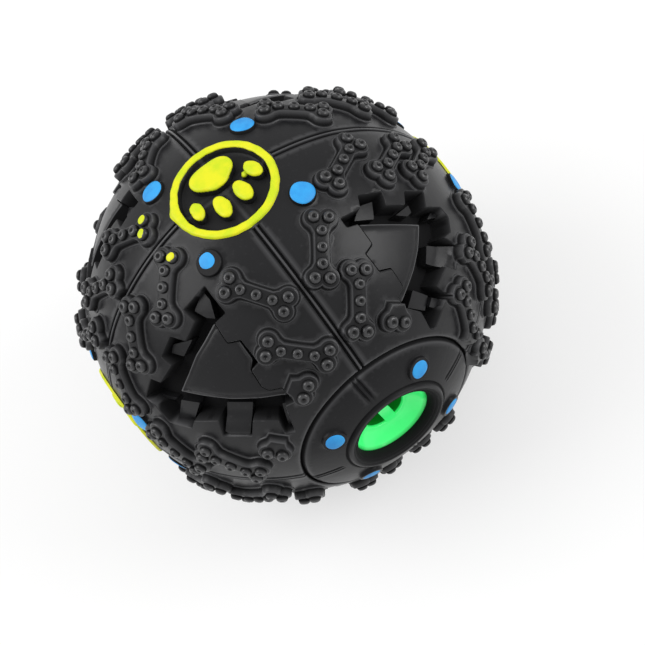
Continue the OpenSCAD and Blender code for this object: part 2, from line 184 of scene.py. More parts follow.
vinyl = {
    "colour": (0.0090, 0.0090, 0.0100),
    # the lighter grey of real dust and wear, and of the painted highlights along edges
    "dustAndHighlight": (0.125, 0.125, 0.13),
    "gloss": 0.25,         # specular level
    "collarGloss": 0.14,
    "pipGloss": 0.55,
    "roughness": 0.31,
    # painted shade in the channels, grooves and dimples: a darker, dull finish without dust or gloss
    "deep": {"Base Color": (0.0085, 0.0085, 0.009), "Roughness": 0.85, "Specular IOR Level": 0.10},
    # noise sizes per metre
    "cloud": 60.0,
    "pebble": 420.0,
    "speck": 900.0,
    "grain": 2600.0,
    "specks": (0.62, 0.75),      # noise values between which a speck comes up
    # what each brings: dust and painted highlight, roughness and relief
    "toDustAndHighlight": {"wearAndHighlight": 0.70, "specks": 0.10, "cloud": 0.04},
    "roughens": {"cloud": 0.16, "wearAndHighlight": 0.06, "specks": 0.08, "hollow": 0.30},
    "raises": {"grain": 0.6, "pebble": 1.6},
    "relief": (0.35, 0.00006),   # strength and height in metres
    "toDeep": (0.10, 0.80),      # shade over which the channels' own finish takes over
}


def vinylMaterial(name, roughness, gloss):
    material, shader, place = startMaterial(name)
    wearAndHighlight = attribute(place, "wearAndHighlight")
    # A mask of painted shade, high in channels, grooves, dimples and round the feet of raised parts
    hollow = attribute(place, "hollow")
    cloud = noise(place, vinyl["cloud"], 4.0)
    fine = noise(place, vinyl["grain"], 3.0, 0.6)
    specks = noise(place, vinyl["speck"], 2.0).ramp(*vinyl["specks"])
    toDustAndHighlight, roughens, raises = (vinyl[key] for key in ("toDustAndHighlight", "roughens", "raises"))
    # Lighter grey from real dust specks and wear, and painted highlights along edges, ridges and crests
    dustAndHighlightShare = (wearAndHighlight * toDustAndHighlight["wearAndHighlight"] + specks * toDustAndHighlight["specks"] * cloud + cloud * toDustAndHighlight["cloud"]).clamp()
    rough = roughness + (cloud - 0.5) * roughens["cloud"] + wearAndHighlight * roughens["wearAndHighlight"]
    rough = rough + specks * roughens["specks"] + hollow * roughens["hollow"]
    relief = fine * raises["grain"] + noise(place, vinyl["pebble"], 2.0) * raises["pebble"]
    setInputs(shader, {
        "Base Color": dustAndHighlightShare.mixed(vinyl["colour"], vinyl["dustAndHighlight"]),
        "Roughness": rough.clamp(),
        "IOR": 1.5,
        "Specular IOR Level": gloss,
        "Normal": bump(relief, *vinyl["relief"]),
    })
    # Painted shade: channels, grooves and dimples take a darker, dull finish without gloss
    deep = place.node("ShaderNodeBsdfPrincipled", {}, vinyl["deep"])
    showBlend(hollow.ramp(*vinyl["toDeep"]), Wire(place.tree, shader.outputs[0]), deep)
    return material


paint = {
    # the full coat, its patches, and where it is thin
    "blue": ((0.034, 0.37, 0.82), (0.028, 0.29, 0.72), (0.018, 0.12, 0.32)),
    "yellow": ((0.76, 0.76, 0.012), (0.58, 0.71, 0.010), (0.34, 0.40, 0.010)),
    "bare": (0.0105, 0.0105, 0.0115),
    "roughness": 0.46,
    "gloss": 0.30,
    # noise sizes per metre
    "spread": 260.0,
    "ragged": 900.0,
    "grain": 1500.0,
    # how far the noise eats into a cover, and the cover from none to full
    "edge": (0.5, (0.42, 0.58)),
    "coat": (0.35, (0.5, 0.8)),
    "patches": (0.42, 0.66),     # noise values from the full coat to its patches
    "uneven": 0.2,               # what the patches add to the roughness
    "grainShare": 0.6,
    "relief": (0.4, 0.00005),    # strength and height in metres
}


def paintMaterial(name, full, patch, thin):
    material, shader, place = startMaterial(name)
    cover = attribute(place, "paint")
    ragged = noise(place, paint["ragged"], 3.0)
    spread = noise(place, paint["spread"], 2.0)
    edge, coat = ((cover + (ragged - 0.5) * bite).ramp(*span)
                  for bite, span in (paint["edge"], paint["coat"]))
    body = spread.ramp(*paint["patches"]).mixed(full, patch)
    relief = noise(place, paint["grain"], 3.0) * paint["grainShare"] + spread
    setInputs(shader, {
        "Base Color": edge.mixed(paint["bare"], coat.mixed(thin, body)),
        "Roughness": (paint["roughness"] + (spread - 0.5) * paint["uneven"]).clamp(),
        "IOR": 1.5,
        "Specular IOR Level": paint["gloss"],
        "Normal": bump(relief, *paint["relief"]),
    })
    return material


hard = {
    "mottle": (0.3, 0.7),        # noise values from one shade to the other
    "finer": 12,                 # the fine noise against the coarse one
    "roughens": (0.12, 0.1),     # what the fine and the coarse noise add
    "coarse": 2.0,               # weight of the coarse noise in the relief
    "relief": 0.3,
    # metals: noise values and share of a stain, and what the brushing adds to the roughness
    "stain": (0.35, 0.75),
    "stained": 0.75,
    "brushed": 0.25,
}


def plasticMaterial(name, colour, shade, roughness, scale, relief=0.00003, paintedGlow=0.0, deep=None):
    material, shader, place = startMaterial(name)
    cloud = noise(place, scale, 4.0)
    fine = noise(place, scale * hard["finer"], 3.0)
    body = cloud.ramp(*hard["mottle"]).mixed(colour, shade)
    light = colour
    # Painted shade: where the mask is high, the deep colour and no glow
    if deep:
        hollow = attribute(place, "hollow")
        body = hollow.mixed(body, deep)
        light = hollow.mixed(colour, deep)
    byFine, byCloud = hard["roughens"]
    setInputs(shader, {
        "Base Color": body,
        "Roughness": (roughness + (fine - 0.5) * byFine + (cloud - 0.5) * byCloud).clamp(),
        "IOR": 1.49,
        # A painted glow in the body's colour, darkened where the painted shade is
        "Emission Color": light,
        "Emission Strength": paintedGlow,
        "Normal": bump(fine + cloud * hard["coarse"], hard["relief"], relief),
    })
    return material


def metalMaterial(name, colour, roughness, stretch):
    material, shader, place = startMaterial(name)
    brushed = noise(place.node("ShaderNodeMapping", {}, {"Vector": place, "Scale": stretch}), 1.0, 4.0, 0.7)
    stain = noise(place, 90.0, 3.0)
    setInputs(shader, {
        "Base Color": stain.ramp(*hard["stain"]).mixed(colour, [hard["stained"] * c for c in colour]),
        "Metallic": 1.0,
        "Roughness": (roughness + (brushed - 0.5) * hard["brushed"]).clamp(),
        "Normal": bump(brushed, hard["relief"], 0.00002),
    })
    return material


materials = {
    "shell": vinylMaterial("shellVinyl", vinyl["roughness"], vinyl["gloss"]),
    "collar": vinylMaterial("collarVinyl", vinyl["roughness"] + 0.03, vinyl["collarGloss"]),
    "pip": vinylMaterial("pipVinyl", vinyl["roughness"] - 0.06, vinyl["pipGloss"]),
    "blue": paintMaterial("bluePaint", *paint["blue"]),
    "yellow": paintMaterial("yellowPaint", *paint["yellow"]),
    # The green glows a little, a painted light; its deep colour is painted shade in the hole and under the
    # lip
    "green": plasticMaterial("greenPlastic", (0.05, 0.86, 0.20), (0.035, 0.80, 0.165), 0.20, 120.0, paintedGlow=0.34,
                             deep=(0.003, 0.16, 0.012)),
    "tube": plasticMaterial("tubePlastic", (0.78, 0.78, 0.74), (0.70, 0.70, 0.66), 0.42, 150.0),
    "carrier": plasticMaterial("carrierPlastic", (0.05, 0.22, 0.55), (0.04, 0.18, 0.47), 0.40, 150.0),
    "foam": plasticMaterial("bumperFoam", (0.10, 0.10, 0.11), (0.05, 0.05, 0.055), 0.85, 1400.0, 0.0003),
    "seal": plasticMaterial("sealRubber", (0.03, 0.03, 0.03), (0.05, 0.05, 0.05), 0.60, 500.0),
    "steel": metalMaterial("turnedSteel", (0.56, 0.57, 0.59), 0.30, (400, 9000, 400)),
    "brass": metalMaterial("rolledBrass", (0.78, 0.56, 0.26), 0.28, (300, 300, 6000)),
}
print("materials made")


# Small geometry tools
samePoint = 0.002        # points nearer than this are one


def unit(v):
    return v / np.linalg.norm(v, axis=-1, keepdims=True)


def angleFrom(ways, axis):
    return np.arccos(np.clip(ways @ axis, -1, 1))


def profileOf(pairs, distance):
    places, values = zip(*pairs)
    return np.interp(distance, places, values)


def onSphere(rho, radius):
    return np.sqrt(np.maximum(radius ** 2 - rho ** 2, 0))


def flatTurn(angle):
    return np.array([[math.cos(angle), math.sin(angle)], [-math.sin(angle), math.cos(angle)]])


def turnAbout(axis, degrees):
    return np.array(Matrix.Rotation(math.radians(degrees), 3, Vector(axis)))


def waves(points, scale, seed, count=14):
    # A smooth random field from -1 to 1: a sum of sines along fixed random directions
    rng = np.random.default_rng(seed)
    ways = unit(rng.normal(size=(count, 3))) * rng.uniform(0.6, 1.5, (count, 1)) * 2 * math.pi / scale
    starts = rng.uniform(0, 2 * math.pi, count)
    return np.sin(points @ ways.T + starts).sum(1) / math.sqrt(count)


def smoothMin(a, b, blend):
    share = np.clip(0.5 + 0.5 * (b - a) / blend, 0, 1)
    return b + (a - b) * share - blend * share * (1 - share)


def toPolygon(points, outline):
    # Signed distance from points to a closed outline, negative inside
    best = np.full(len(points), 1e9)
    inside = np.zeros(len(points), bool)
    for a, b in zip(outline, np.roll(outline, -1, 0)):
        edge = b - a
        away = points - a
        share = np.clip(away @ edge / (edge @ edge), 0, 1)
        best = np.minimum(best, np.hypot(*(away - share[:, None] * edge).T))
        crosses = (a[1] > points[:, 1]) != (b[1] > points[:, 1])
        if a[1] != b[1]:
            inside ^= crosses & (points[:, 0] < (b[0] - a[0]) * (points[:, 1] - a[1]) / (b[1] - a[1]) + a[0])
    return np.where(inside, -best, best)


def softOutline(corners, cut, step):
    # The outline with each corner cut to a small curve, and long edges split
    most = 0.4        # share of an edge that a cut may take
    result = []
    for i, here in enumerate(corners):
        after = corners[(i + 1) % len(corners)]
        back, on = corners[i - 1] - here, after - here
        long = np.linalg.norm(on)
        reach = min(cut, np.linalg.norm(back) * most, long * most)
        a = here + unit(back) * reach
        b = here + unit(on) * reach
        result += [a, (a + b + 2 * here) / 4, b]
        end = after - unit(on) * min(cut, long * most)
        parts = max(1, int(np.linalg.norm(end - b) / step))
        result += [b + (end - b) * k / parts for k in range(1, parts)]
    return np.array(result)


def pushedOut(outline, distance):
    # The outline moved outwards by a small distance, mitred at its corners
    forward = unit(np.roll(outline, -1, 0) - outline)
    backward = unit(outline - np.roll(outline, 1, 0))
    normals = unit(np.stack([forward[:, 1] + backward[:, 1], -forward[:, 0] - backward[:, 0]], 1))
    stretch = (normals * np.stack([forward[:, 1], -forward[:, 0]], 1)).sum(1)
    sign = 1 if np.cross(outline, np.roll(outline, -1, 0)).sum() > 0 else -1
    return outline + sign * normals * (distance / np.clip(stretch, 0.5, 1))[:, None]


def triangulated(parts, edges):
    # Points in the plane and triangles between them that keep every edge
    flat = [Vector(p) for p in np.concatenate(parts).tolist()]
    found = delaunay_2d_cdt(flat, edges, [], 0, 1e-5, False)
    return np.array([tuple(v) for v in found[0]]), np.array([f for f in found[2] if len(f) == 3])


def rowFaces(rows):
    # Faces between neighbouring closed rows; a pole is one point repeated
    faces = []
    for low, high in zip(rows, rows[1:]):
        for i in range(len(low)):
            faces.append(list(dict.fromkeys((low[i - 1], low[i], high[i], high[i - 1]))))
    return faces


def tidyMesh(mesh):
    # Joins doubles and turns every face outwards
    work = bmesh.new()
    work.from_mesh(mesh)
    bmesh.ops.remove_doubles(work, verts=work.verts, dist=samePoint * mm)
    bmesh.ops.dissolve_degenerate(work, edges=work.edges, dist=samePoint * mm * 0.5)
    bmesh.ops.recalc_face_normals(work, faces=work.faces)
    work.to_mesh(mesh)
    work.free()


def smoothMesh(mesh, sharp):
    mesh.shade_smooth()
    mesh.set_sharp_from_angle(angle=math.radians(sharp))


def makeObject(name, points, faces, finish, fields, sharp=50):
    mesh = bpy.data.meshes.new(name)
    mesh.from_pydata((np.asarray(points) * mm).tolist(), [], [tuple(f) for f in faces])
    for field, values in fields.items():
        layer = mesh.attributes.new(field, "FLOAT", "POINT")
        layer.data.foreach_set("value", np.asarray(values, np.float32))
    mesh.materials.append(finish)
    mesh.validate()
    tidyMesh(mesh)
    smoothMesh(mesh, sharp)
    return addObject(name, mesh)


def handOver(piece, node=None):
    # Every piece made here rides the ball, and most stand in for a solid
    if node:
        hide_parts(node)
    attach(piece, "ball")


# The ball's skin
printLow, skinFace = (corner[2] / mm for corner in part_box("top_paw_print"))
paintDepth = skinFace - printLow
skin = {
    "radius": skinFace + 0.4,
    # across a seam: distance from its middle, height. A rounded ridge between two grooves
    "seam": ((0, 0.20), (0.23, 0.15), (0.36, -0.10), (0.52, -0.50), (0.78, -0.50), (1.02, 0.02), (1.22, 0.06),
             (1.60, 0.0)),
    # wear and painted highlight by the distance from a seam's middle: the ridge, then the outer edge
    "seamWearAndHighlight": ((0.2, 0.7), (0.38, 0), (1.2, 0), (1.35, 0.6), (1.5, 0.6), (1.9, 0)),
    "grooveDeep": 0.5,     # depth from which a groove is fully shaded
    "swell": 0.10,         # soft unevenness of the moulding
    "waves": ((34.0, 3, 0.6), (13.0, 5, 0.25)),   # their length, seed and share
    "calm": (15.5, 19.5),  # degrees from a flat painted face's middle over which they start
    "grid": 96,            # rows of the filling grid in an eighth of the ball
    "seamPoints": (73, 46),   # along a seam's ridge and its grooves in an eighth
    "printPoints": 21,     # round a paw print in an eighth
    "clear": 0.5,          # from the filling points to any line
    "sharp": 38,           # degrees from which an edge is sharp
    "wall": 4.0,
    "pocketBoss": 46.9,    # the inside behind a pocket, from the ball's centre
    "pocketReach": (27, 31),   # degrees from the pocket's middle over which it ends
    "printBoss": 48.6,     # the inside behind a paw print
    "printReach": 16.1,
}
seamOffs = np.array([off for off, _ in skin["seam"]])
# Profiles from here on are pairs: distance outwards from an outline, then what holds there
bone = {
    "rise": 2.3,
    "middle": 1.2,         # height at which the bone's outline holds
    "span": 14.6,
    "lobe": 2.6,
    "gap": 3.6,
    "shank": 4.0,
    "soften": 1.5,         # rounding where the lobes meet the shank
    "stub": 4.4,           # length of a bone that shows only its end
    "across": (3.6, 1.8, 0, -1.8, -3.6),   # places of its lines' points along the shank
    # share of the rise
    "profile": ((-0.48, 1.0), (-0.24, 0.955), (-0.07, 0.80), (0.10, 0.16), (0.32, 0.12), (0.62, 0.11),
                (0.78, 0.0)),
    # wear and a painted highlight on the top edge and on the skirt's edge
    "wearAndHighlight": ((-0.48, 0), (-0.24, 0.65), (-0.07, 0.455), (0.10, 0), (0.40, 0), (0.62, 0.7), (0.78, 0.28),
             (0.85, 0)),
    # painted shade round the bone's foot
    "shade": ((-0.07, 0), (0.10, 0.75), (0.32, 0.45), (0.62, 0)),
    "edgeGap": (0.5, 1.1),  # bones fade out between these distances from a seam or the port
    "clear": 0.55,          # their lines end at this one
}
boneRadius = skin["radius"] + bone["middle"]
pocket = {
    "reach": 20.0,
    "deep": 5.6,           # the channel round the smooth plate
    # painted shade: full from this depth down
    "dark": 2.6,           # depth from which no gloss shows
    "near": 0.25,          # distance from the hole's edge up to which the pocket shapes the skin
    "stepTop": 0.55,       # how far under the skin the outer end of a rising step stays
    "stepRise": (0.42, 0.60),   # where it rises, in shares of the reach
    "stepSide": (0.0, 0.22),    # its side, outwards from its outline
    # from the hole's edge: share of the channel's depth
    "wall": ((-0.40, 1.0), (-0.14, 0.93), (0.0, 0.05), (0.22, 0.0)),
    "crack": ((-0.40, 0), (-0.14, 0.8)),    # extra depth where the plate meets the fragments
    "wallShade": ((-0.14, 1), (0.0, 0.62), (0.20, 0)),
    "crackShade": ((-0.40, 0), (-0.14, 1), (0.0, 0.4), (0.1, 0)),
    "edgeWearAndHighlight": ((-0.1, 0), (0.05, 1), (0.22, 0)),
    # from the plate's edge: depth
    "rim": ((-1.6, 0.70), (-1.0, 0.88), (-0.5, 0.60), (-0.14, 0.74), (0.0, 1.05), (0.24, 5.2), (0.5, 5.6)),
    "plateWearAndHighlight": ((-0.5, 0), (-0.3, 1), (-0.1, 1), (0.0, 0)),
    "plateWearAndHighlightFrom": -0.6,    # the plate's edge has wear and a painted highlight only this far inside the hole
    "lineEnd": 0.3,           # lines in the hole end this far past its edge
}
# The two kinds of pocket. Bones and stubs: degrees right and up from the pocket's middle, and turn.
# Hole and plate: outlines in shares of the reach, a right pocket's mirrored.
# Steps: outline, depth, and how far the outer end rises.
leftKind = {
    "bones": [(-12, 26.9, 90), (13.2, 25.8, -19), (-22.3, 13.1, -82.8), (22.5, 10.7, -14.6),
              (-29.9, -2.5, -71), (-16.8, -22.2, -50), (-0.2, -23.5, -31)],
    "stubs": [(23.4, 0.3, 154), (12.8, -18.6, 70)],
    "hole": [
        [0.218, 1.007], [0.078, 0.889], [0.231, 0.656], [0.40, 0.69], [0.60, 0.40], [0.503, 0.305],
        [0.608, 0.068], [0.686, 0.017], [0.847, 0.042], [0.961, -0.172], [0.842, -0.221], [0.891, -0.648],
        [0.768, -0.651], [0.732, -0.435], [0.415, -0.414], [0.354, -0.668], [-0.028, -0.685],
        [-0.037, -0.429], [-0.388, -0.476], [-0.455, -0.612], [-0.804, -0.582], [-0.96, -0.351],
        [-1.099, -0.285], [-0.938, 0.039], [-0.782, 0.02], [-0.571, 0.301], [-0.713, 0.394],
        [-0.549, 0.679], [-0.331, 0.643], [-0.181, 0.90], [-0.338, 1.017], [-0.059, 1.297]],
    "plate": [
        [0.055, 0.883], [-0.075, 0.675], [-0.22, 0.47], [-0.35, 0.22], [-0.511, -0.063], [-0.221, -0.087],
        [0.19, -0.115], [0.549, -0.106], [0.824, -0.08], [1.05, -0.12], [1.2, 0.4], [0.75, 0.33],
        [0.50, 0.30], [0.525, 0.44], [0.385, 0.665], [0.38, 0.75], [0.30, 0.85], [0.12, 0.87]],
    "steps": [
        ([[-0.60, 0.54], [-0.30, 0.64], [-0.45, 0.40], [-0.64, 0.42]], 2.5, 0.0),
        ([[-0.605, -0.272], [-0.324, -0.271], [-0.50, -0.64], [-0.73, -0.62]], 2.5, 0.0),
        ([[0.072, -0.235], [0.425, -0.231], [0.32, -0.72], [-0.01, -0.73]], 2.9, 1.0),
        ([[0.80, -0.26], [0.87, -0.25], [0.93, -0.72], [0.83, -0.72]], 2.4, 0.0),
        ([[-0.134, 1.249], [-0.25, 1.0], [-0.079, 0.93], [0.042, 0.925], [-0.03, 1.144]], 2.4, 0.0),
        ([[-1.15, -0.32], [-0.73, -0.316], [-0.78, -0.36], [-1.15, -0.40]], 3.8, 0.0)],
}
rightKind = {
    "bones": [(-13.8, 25.8, 17.6), (12, 25.1, -16.9), (-23.1, 12.4, 25), (19.3, 11.7, -22),
              (-11, -23.3, 60), (3.5, -23.8, 78), (17, -22.5, 52), (24.3, 1.2, -24)],
    "stubs": [(-23.8, 0.4, 23)],
    "hole": [
        [0.189, 0.866], [0.373, 0.633], [0.522, 0.681], [0.666, 0.434], [0.571, 0.292], [0.715, 0.045],
        [0.856, 0.065], [0.926, -0.047], [0.858, -0.342], [0.963, -0.598], [0.916, -0.668],
        [0.474, -0.672], [0.47, -0.453], [0.151, -0.523], [0.085, -0.739], [-0.227, -0.658],
        [-0.214, -0.421], [-0.362, -0.527], [-0.566, -0.472], [-0.625, -0.308], [-0.467, -0.04],
        [-0.695, 0.009], [-0.541, 0.312], [-0.345, 0.284], [-0.198, 0.558], [-0.374, 0.639],
        [-0.197, 0.931], [-0.031, 0.872], [0.194, 1.076], [0.279, 0.981]],
    "plate": [
        [0.173, 0.831], [-0.005, 0.425], [-0.19, 0.016], [0.156, -0.035], [0.45, -0.043], [0.875, -0.024],
        [1.05, -0.02], [1.2, 0.4], [0.8, 0.8], [0.35, 0.9], [0.20, 0.85]],
    "steps": [
        ([[0.099, 0.879], [-0.121, 0.866], [-0.271, 0.695], [-0.027, 0.633]], 2.7, 0.0),
        ([[-0.22, 0.332], [-0.473, 0.146], [-0.39, 0.085], [-0.295, 0.146]], 2.6, 0.0),
        ([[-0.425, -0.20], [-0.561, -0.256], [-0.70, -0.45], [-0.555, -0.376]], 2.4, 0.0),
        ([[-0.025, -0.235], [-0.24, -0.72], [0.10, -0.76], [0.22, -0.285]], 2.5, 1.0),
        ([[0.643, -0.19], [0.59, -0.47], [0.78, -0.507], [0.875, -0.21]], 2.5, 0.0),
        ([[0.60, -0.50], [0.53, -0.70], [0.66, -0.70], [0.72, -0.51]], 1.6, 0.0)],
}
dot = {
    "radius": 3.2,
    "rise": 1.6,
    "angle": 21.0,
    "collarAngle": 20.55,
    "points": 28,          # round it
    "collarPoints": 30,
    "profile": ((-0.12, 1.0), (0.02, 0.88), (0.20, 0.12), (0.40, 0.0)),
    # painted shade on the dot's side and round its foot
    "shade": ((-0.12, 0.40), (0.20, 0.75), (0.40, 0)),
}
dotTop = skin["radius"] + dot["rise"] - paintDepth
printRing = {
    "inner": 12.2,
    "outer": 14.05,
    "low": 54.05,          # where the paint on the ring starts
    "top": 54.47,
    "floor": skinFace - 2.4,
    # painted shade on the floor inside the ring
    "shade": 0.35,         # on that floor
    "sides": 120,
    "wander": 0.17,        # unevenness of the painted ring's edges
    "ragged": 0.028,
}
port = {
    "rim": 26.35,          # radius of the seat that the collar's rim lies in
    "points": 25,          # round a quarter of it, and of the collar
    "grooveGap": 0.02,     # angle left clear beside a seam's groove
    "bevel": ((0.0, 0.5), (0.33, 0.12), (0.7, 0.0)),  # from the rim outwards: depth
    # painted shade on the bevel next to the rim
    "shade": ((0.0, 0.9), (0.3, 0)),
    # wear and a painted highlight just outside the bevel
    "wearAndHighlight": ((0.2, 0), (0.35, 0.7), (0.5, 0.7), (0.8, 0)),
    # radius and height of the wall's corners, from the rim to the ball's inside
    "wall": ((26.35, 46.81), (23.45, 46.81), (23.45, 42.81), (28.4, 42.81)),
}
portAngle = math.asin(port["rim"] / skin["radius"])


def boneDistance(x, y, stub=False):
    half = bone["span"] / 2
    side = np.abs(y)
    if stub:
        lobes = np.hypot(x, side - bone["gap"] / 2) - bone["lobe"]
        along = np.maximum(-x, x - bone["stub"])
    else:
        lobes = np.hypot(np.abs(x) - half, side - bone["gap"] / 2) - bone["lobe"]
        along = np.abs(x) - half
    shank = np.maximum(along, side - bone["shank"] / 2)
    return smoothMin(lobes, shank, bone["soften"])


def boneRing(level, stub=False):
    # The closed line at this distance from a bone's outline
    reach = bone["lobe"] + level
    notch = math.degrees(math.asin(min(0.98, bone["gap"] / 2 / reach)))
    angles = np.radians(np.linspace(-165, notch, 13))
    lobe = np.stack([reach * np.cos(angles), -bone["gap"] / 2 + reach * np.sin(angles)], 1)
    pair = np.concatenate([lobe, (lobe * [1, -1])[-2::-1]])
    edge = bone["shank"] / 2 + level
    if stub:
        far = bone["stub"] + level
        ring = np.concatenate([pair * [-1, 1], [[far, edge], [far, 0], [far, -edge]]])[::-1]
    else:
        shank = [[x, edge] for x in bone["across"]]
        end = pair + [bone["span"] / 2, 0]
        ring = np.concatenate([end, shank, -end, [[-x, -y] for x, y in shank]])
    for _ in range(6):
        nudge = 0.01
        here = boneDistance(ring[:, 0], ring[:, 1], stub)
        slope = np.stack([
            boneDistance(ring[:, 0] + nudge, ring[:, 1], stub) - here,
            boneDistance(ring[:, 0], ring[:, 1] + nudge, stub) - here], 1) / nudge
        ring = ring + slope * ((level - here) / np.maximum((slope ** 2).sum(1), 0.2))[:, None]
    return ring


def placeTurn(place):
    tilt = math.hypot(place[0], place[1])
    return turnAbout((-place[1], place[0], 0), tilt) @ turnAbout((0, 0, 1), place[2])


def flatToWays(flat, radius):
    return np.column_stack([flat / radius, np.sqrt(1 - (flat ** 2).sum(1) / radius ** 2)])


# The plane that touches the ball at the pocket's middle, seen from the ball's centre
def planeToWays(plane):
    return unit(np.column_stack([plane / skin["radius"], np.ones(len(plane))]))


def waysToPlane(ways):
    return ways[:, :2] / ways[:, 2:] * skin["radius"]


def dotRings(middle, helper, count):
    # The lines of a dot's side, as ways round its middle; the helper is any other way
    side = unit(np.cross(middle, helper))
    other = np.cross(middle, side)
    turn = np.linspace(0, 2 * math.pi, count + 1)[:-1, None]
    for off, _ in dot["profile"]:
        lift = math.asin((dot["radius"] + off) / skin["radius"])
        yield middle * math.cos(lift) + (side * np.cos(turn) + other * np.sin(turn)) * math.sin(lift)


def raiseDot(ways, middle, radii):
    # Lifts the points of a dot; returns their distances from its edge and which they are
    cosine = np.clip(ways @ middle, -1, 1)
    off = np.sqrt(1 - cosine ** 2) * skin["radius"] - dot["radius"]
    close = (off < dot["profile"][-1][0]) & (cosine > 0)
    share = profileOf(dot["profile"], off[close])
    radii[close] += (dotTop / cosine[close] - radii[close]) * share
    return off[close], close


# Rho and height pairs of a paw print's ring and floor, from its axis outwards
def printProfile():
    inner, outer, top, floor = (printRing[key] for key in ("inner", "outer", "low", "floor"))
    foot = outer + 0.22
    points = [(0, floor), (inner - 1.15, floor), (inner - 0.9, floor + 0.16), (inner - 0.7, floor + 0.18),
              (inner - 0.1, top - 0.2), (inner + 0.1, top), (outer - 0.15, top), (outer + 0.02, top - 0.18),
              (foot - 0.05, float(onSphere(foot, skin["radius"])) + 0.12),
              (foot + 0.35, float(onSphere(foot + 0.35, skin["radius"])))]
    return np.array(points)


def rayHits(profile, angle):
    # Radius at which rays at these angles from the axis meet the profile's lines
    at = np.arctan2(profile[:, 0], profile[:, 1])
    index = np.clip(np.searchsorted(at, angle, side="right") - 1, 0, len(profile) - 2)
    a, b = profile[index], profile[index + 1]
    sine, cosine = np.sin(angle), np.cos(angle)
    top = a[:, 1] * b[:, 0] - b[:, 1] * a[:, 0]
    return top / ((b[:, 0] - a[:, 0]) * cosine - (b[:, 1] - a[:, 1]) * sine)


ringLines = printProfile()
ringEnd = math.atan2(*ringLines[-1])


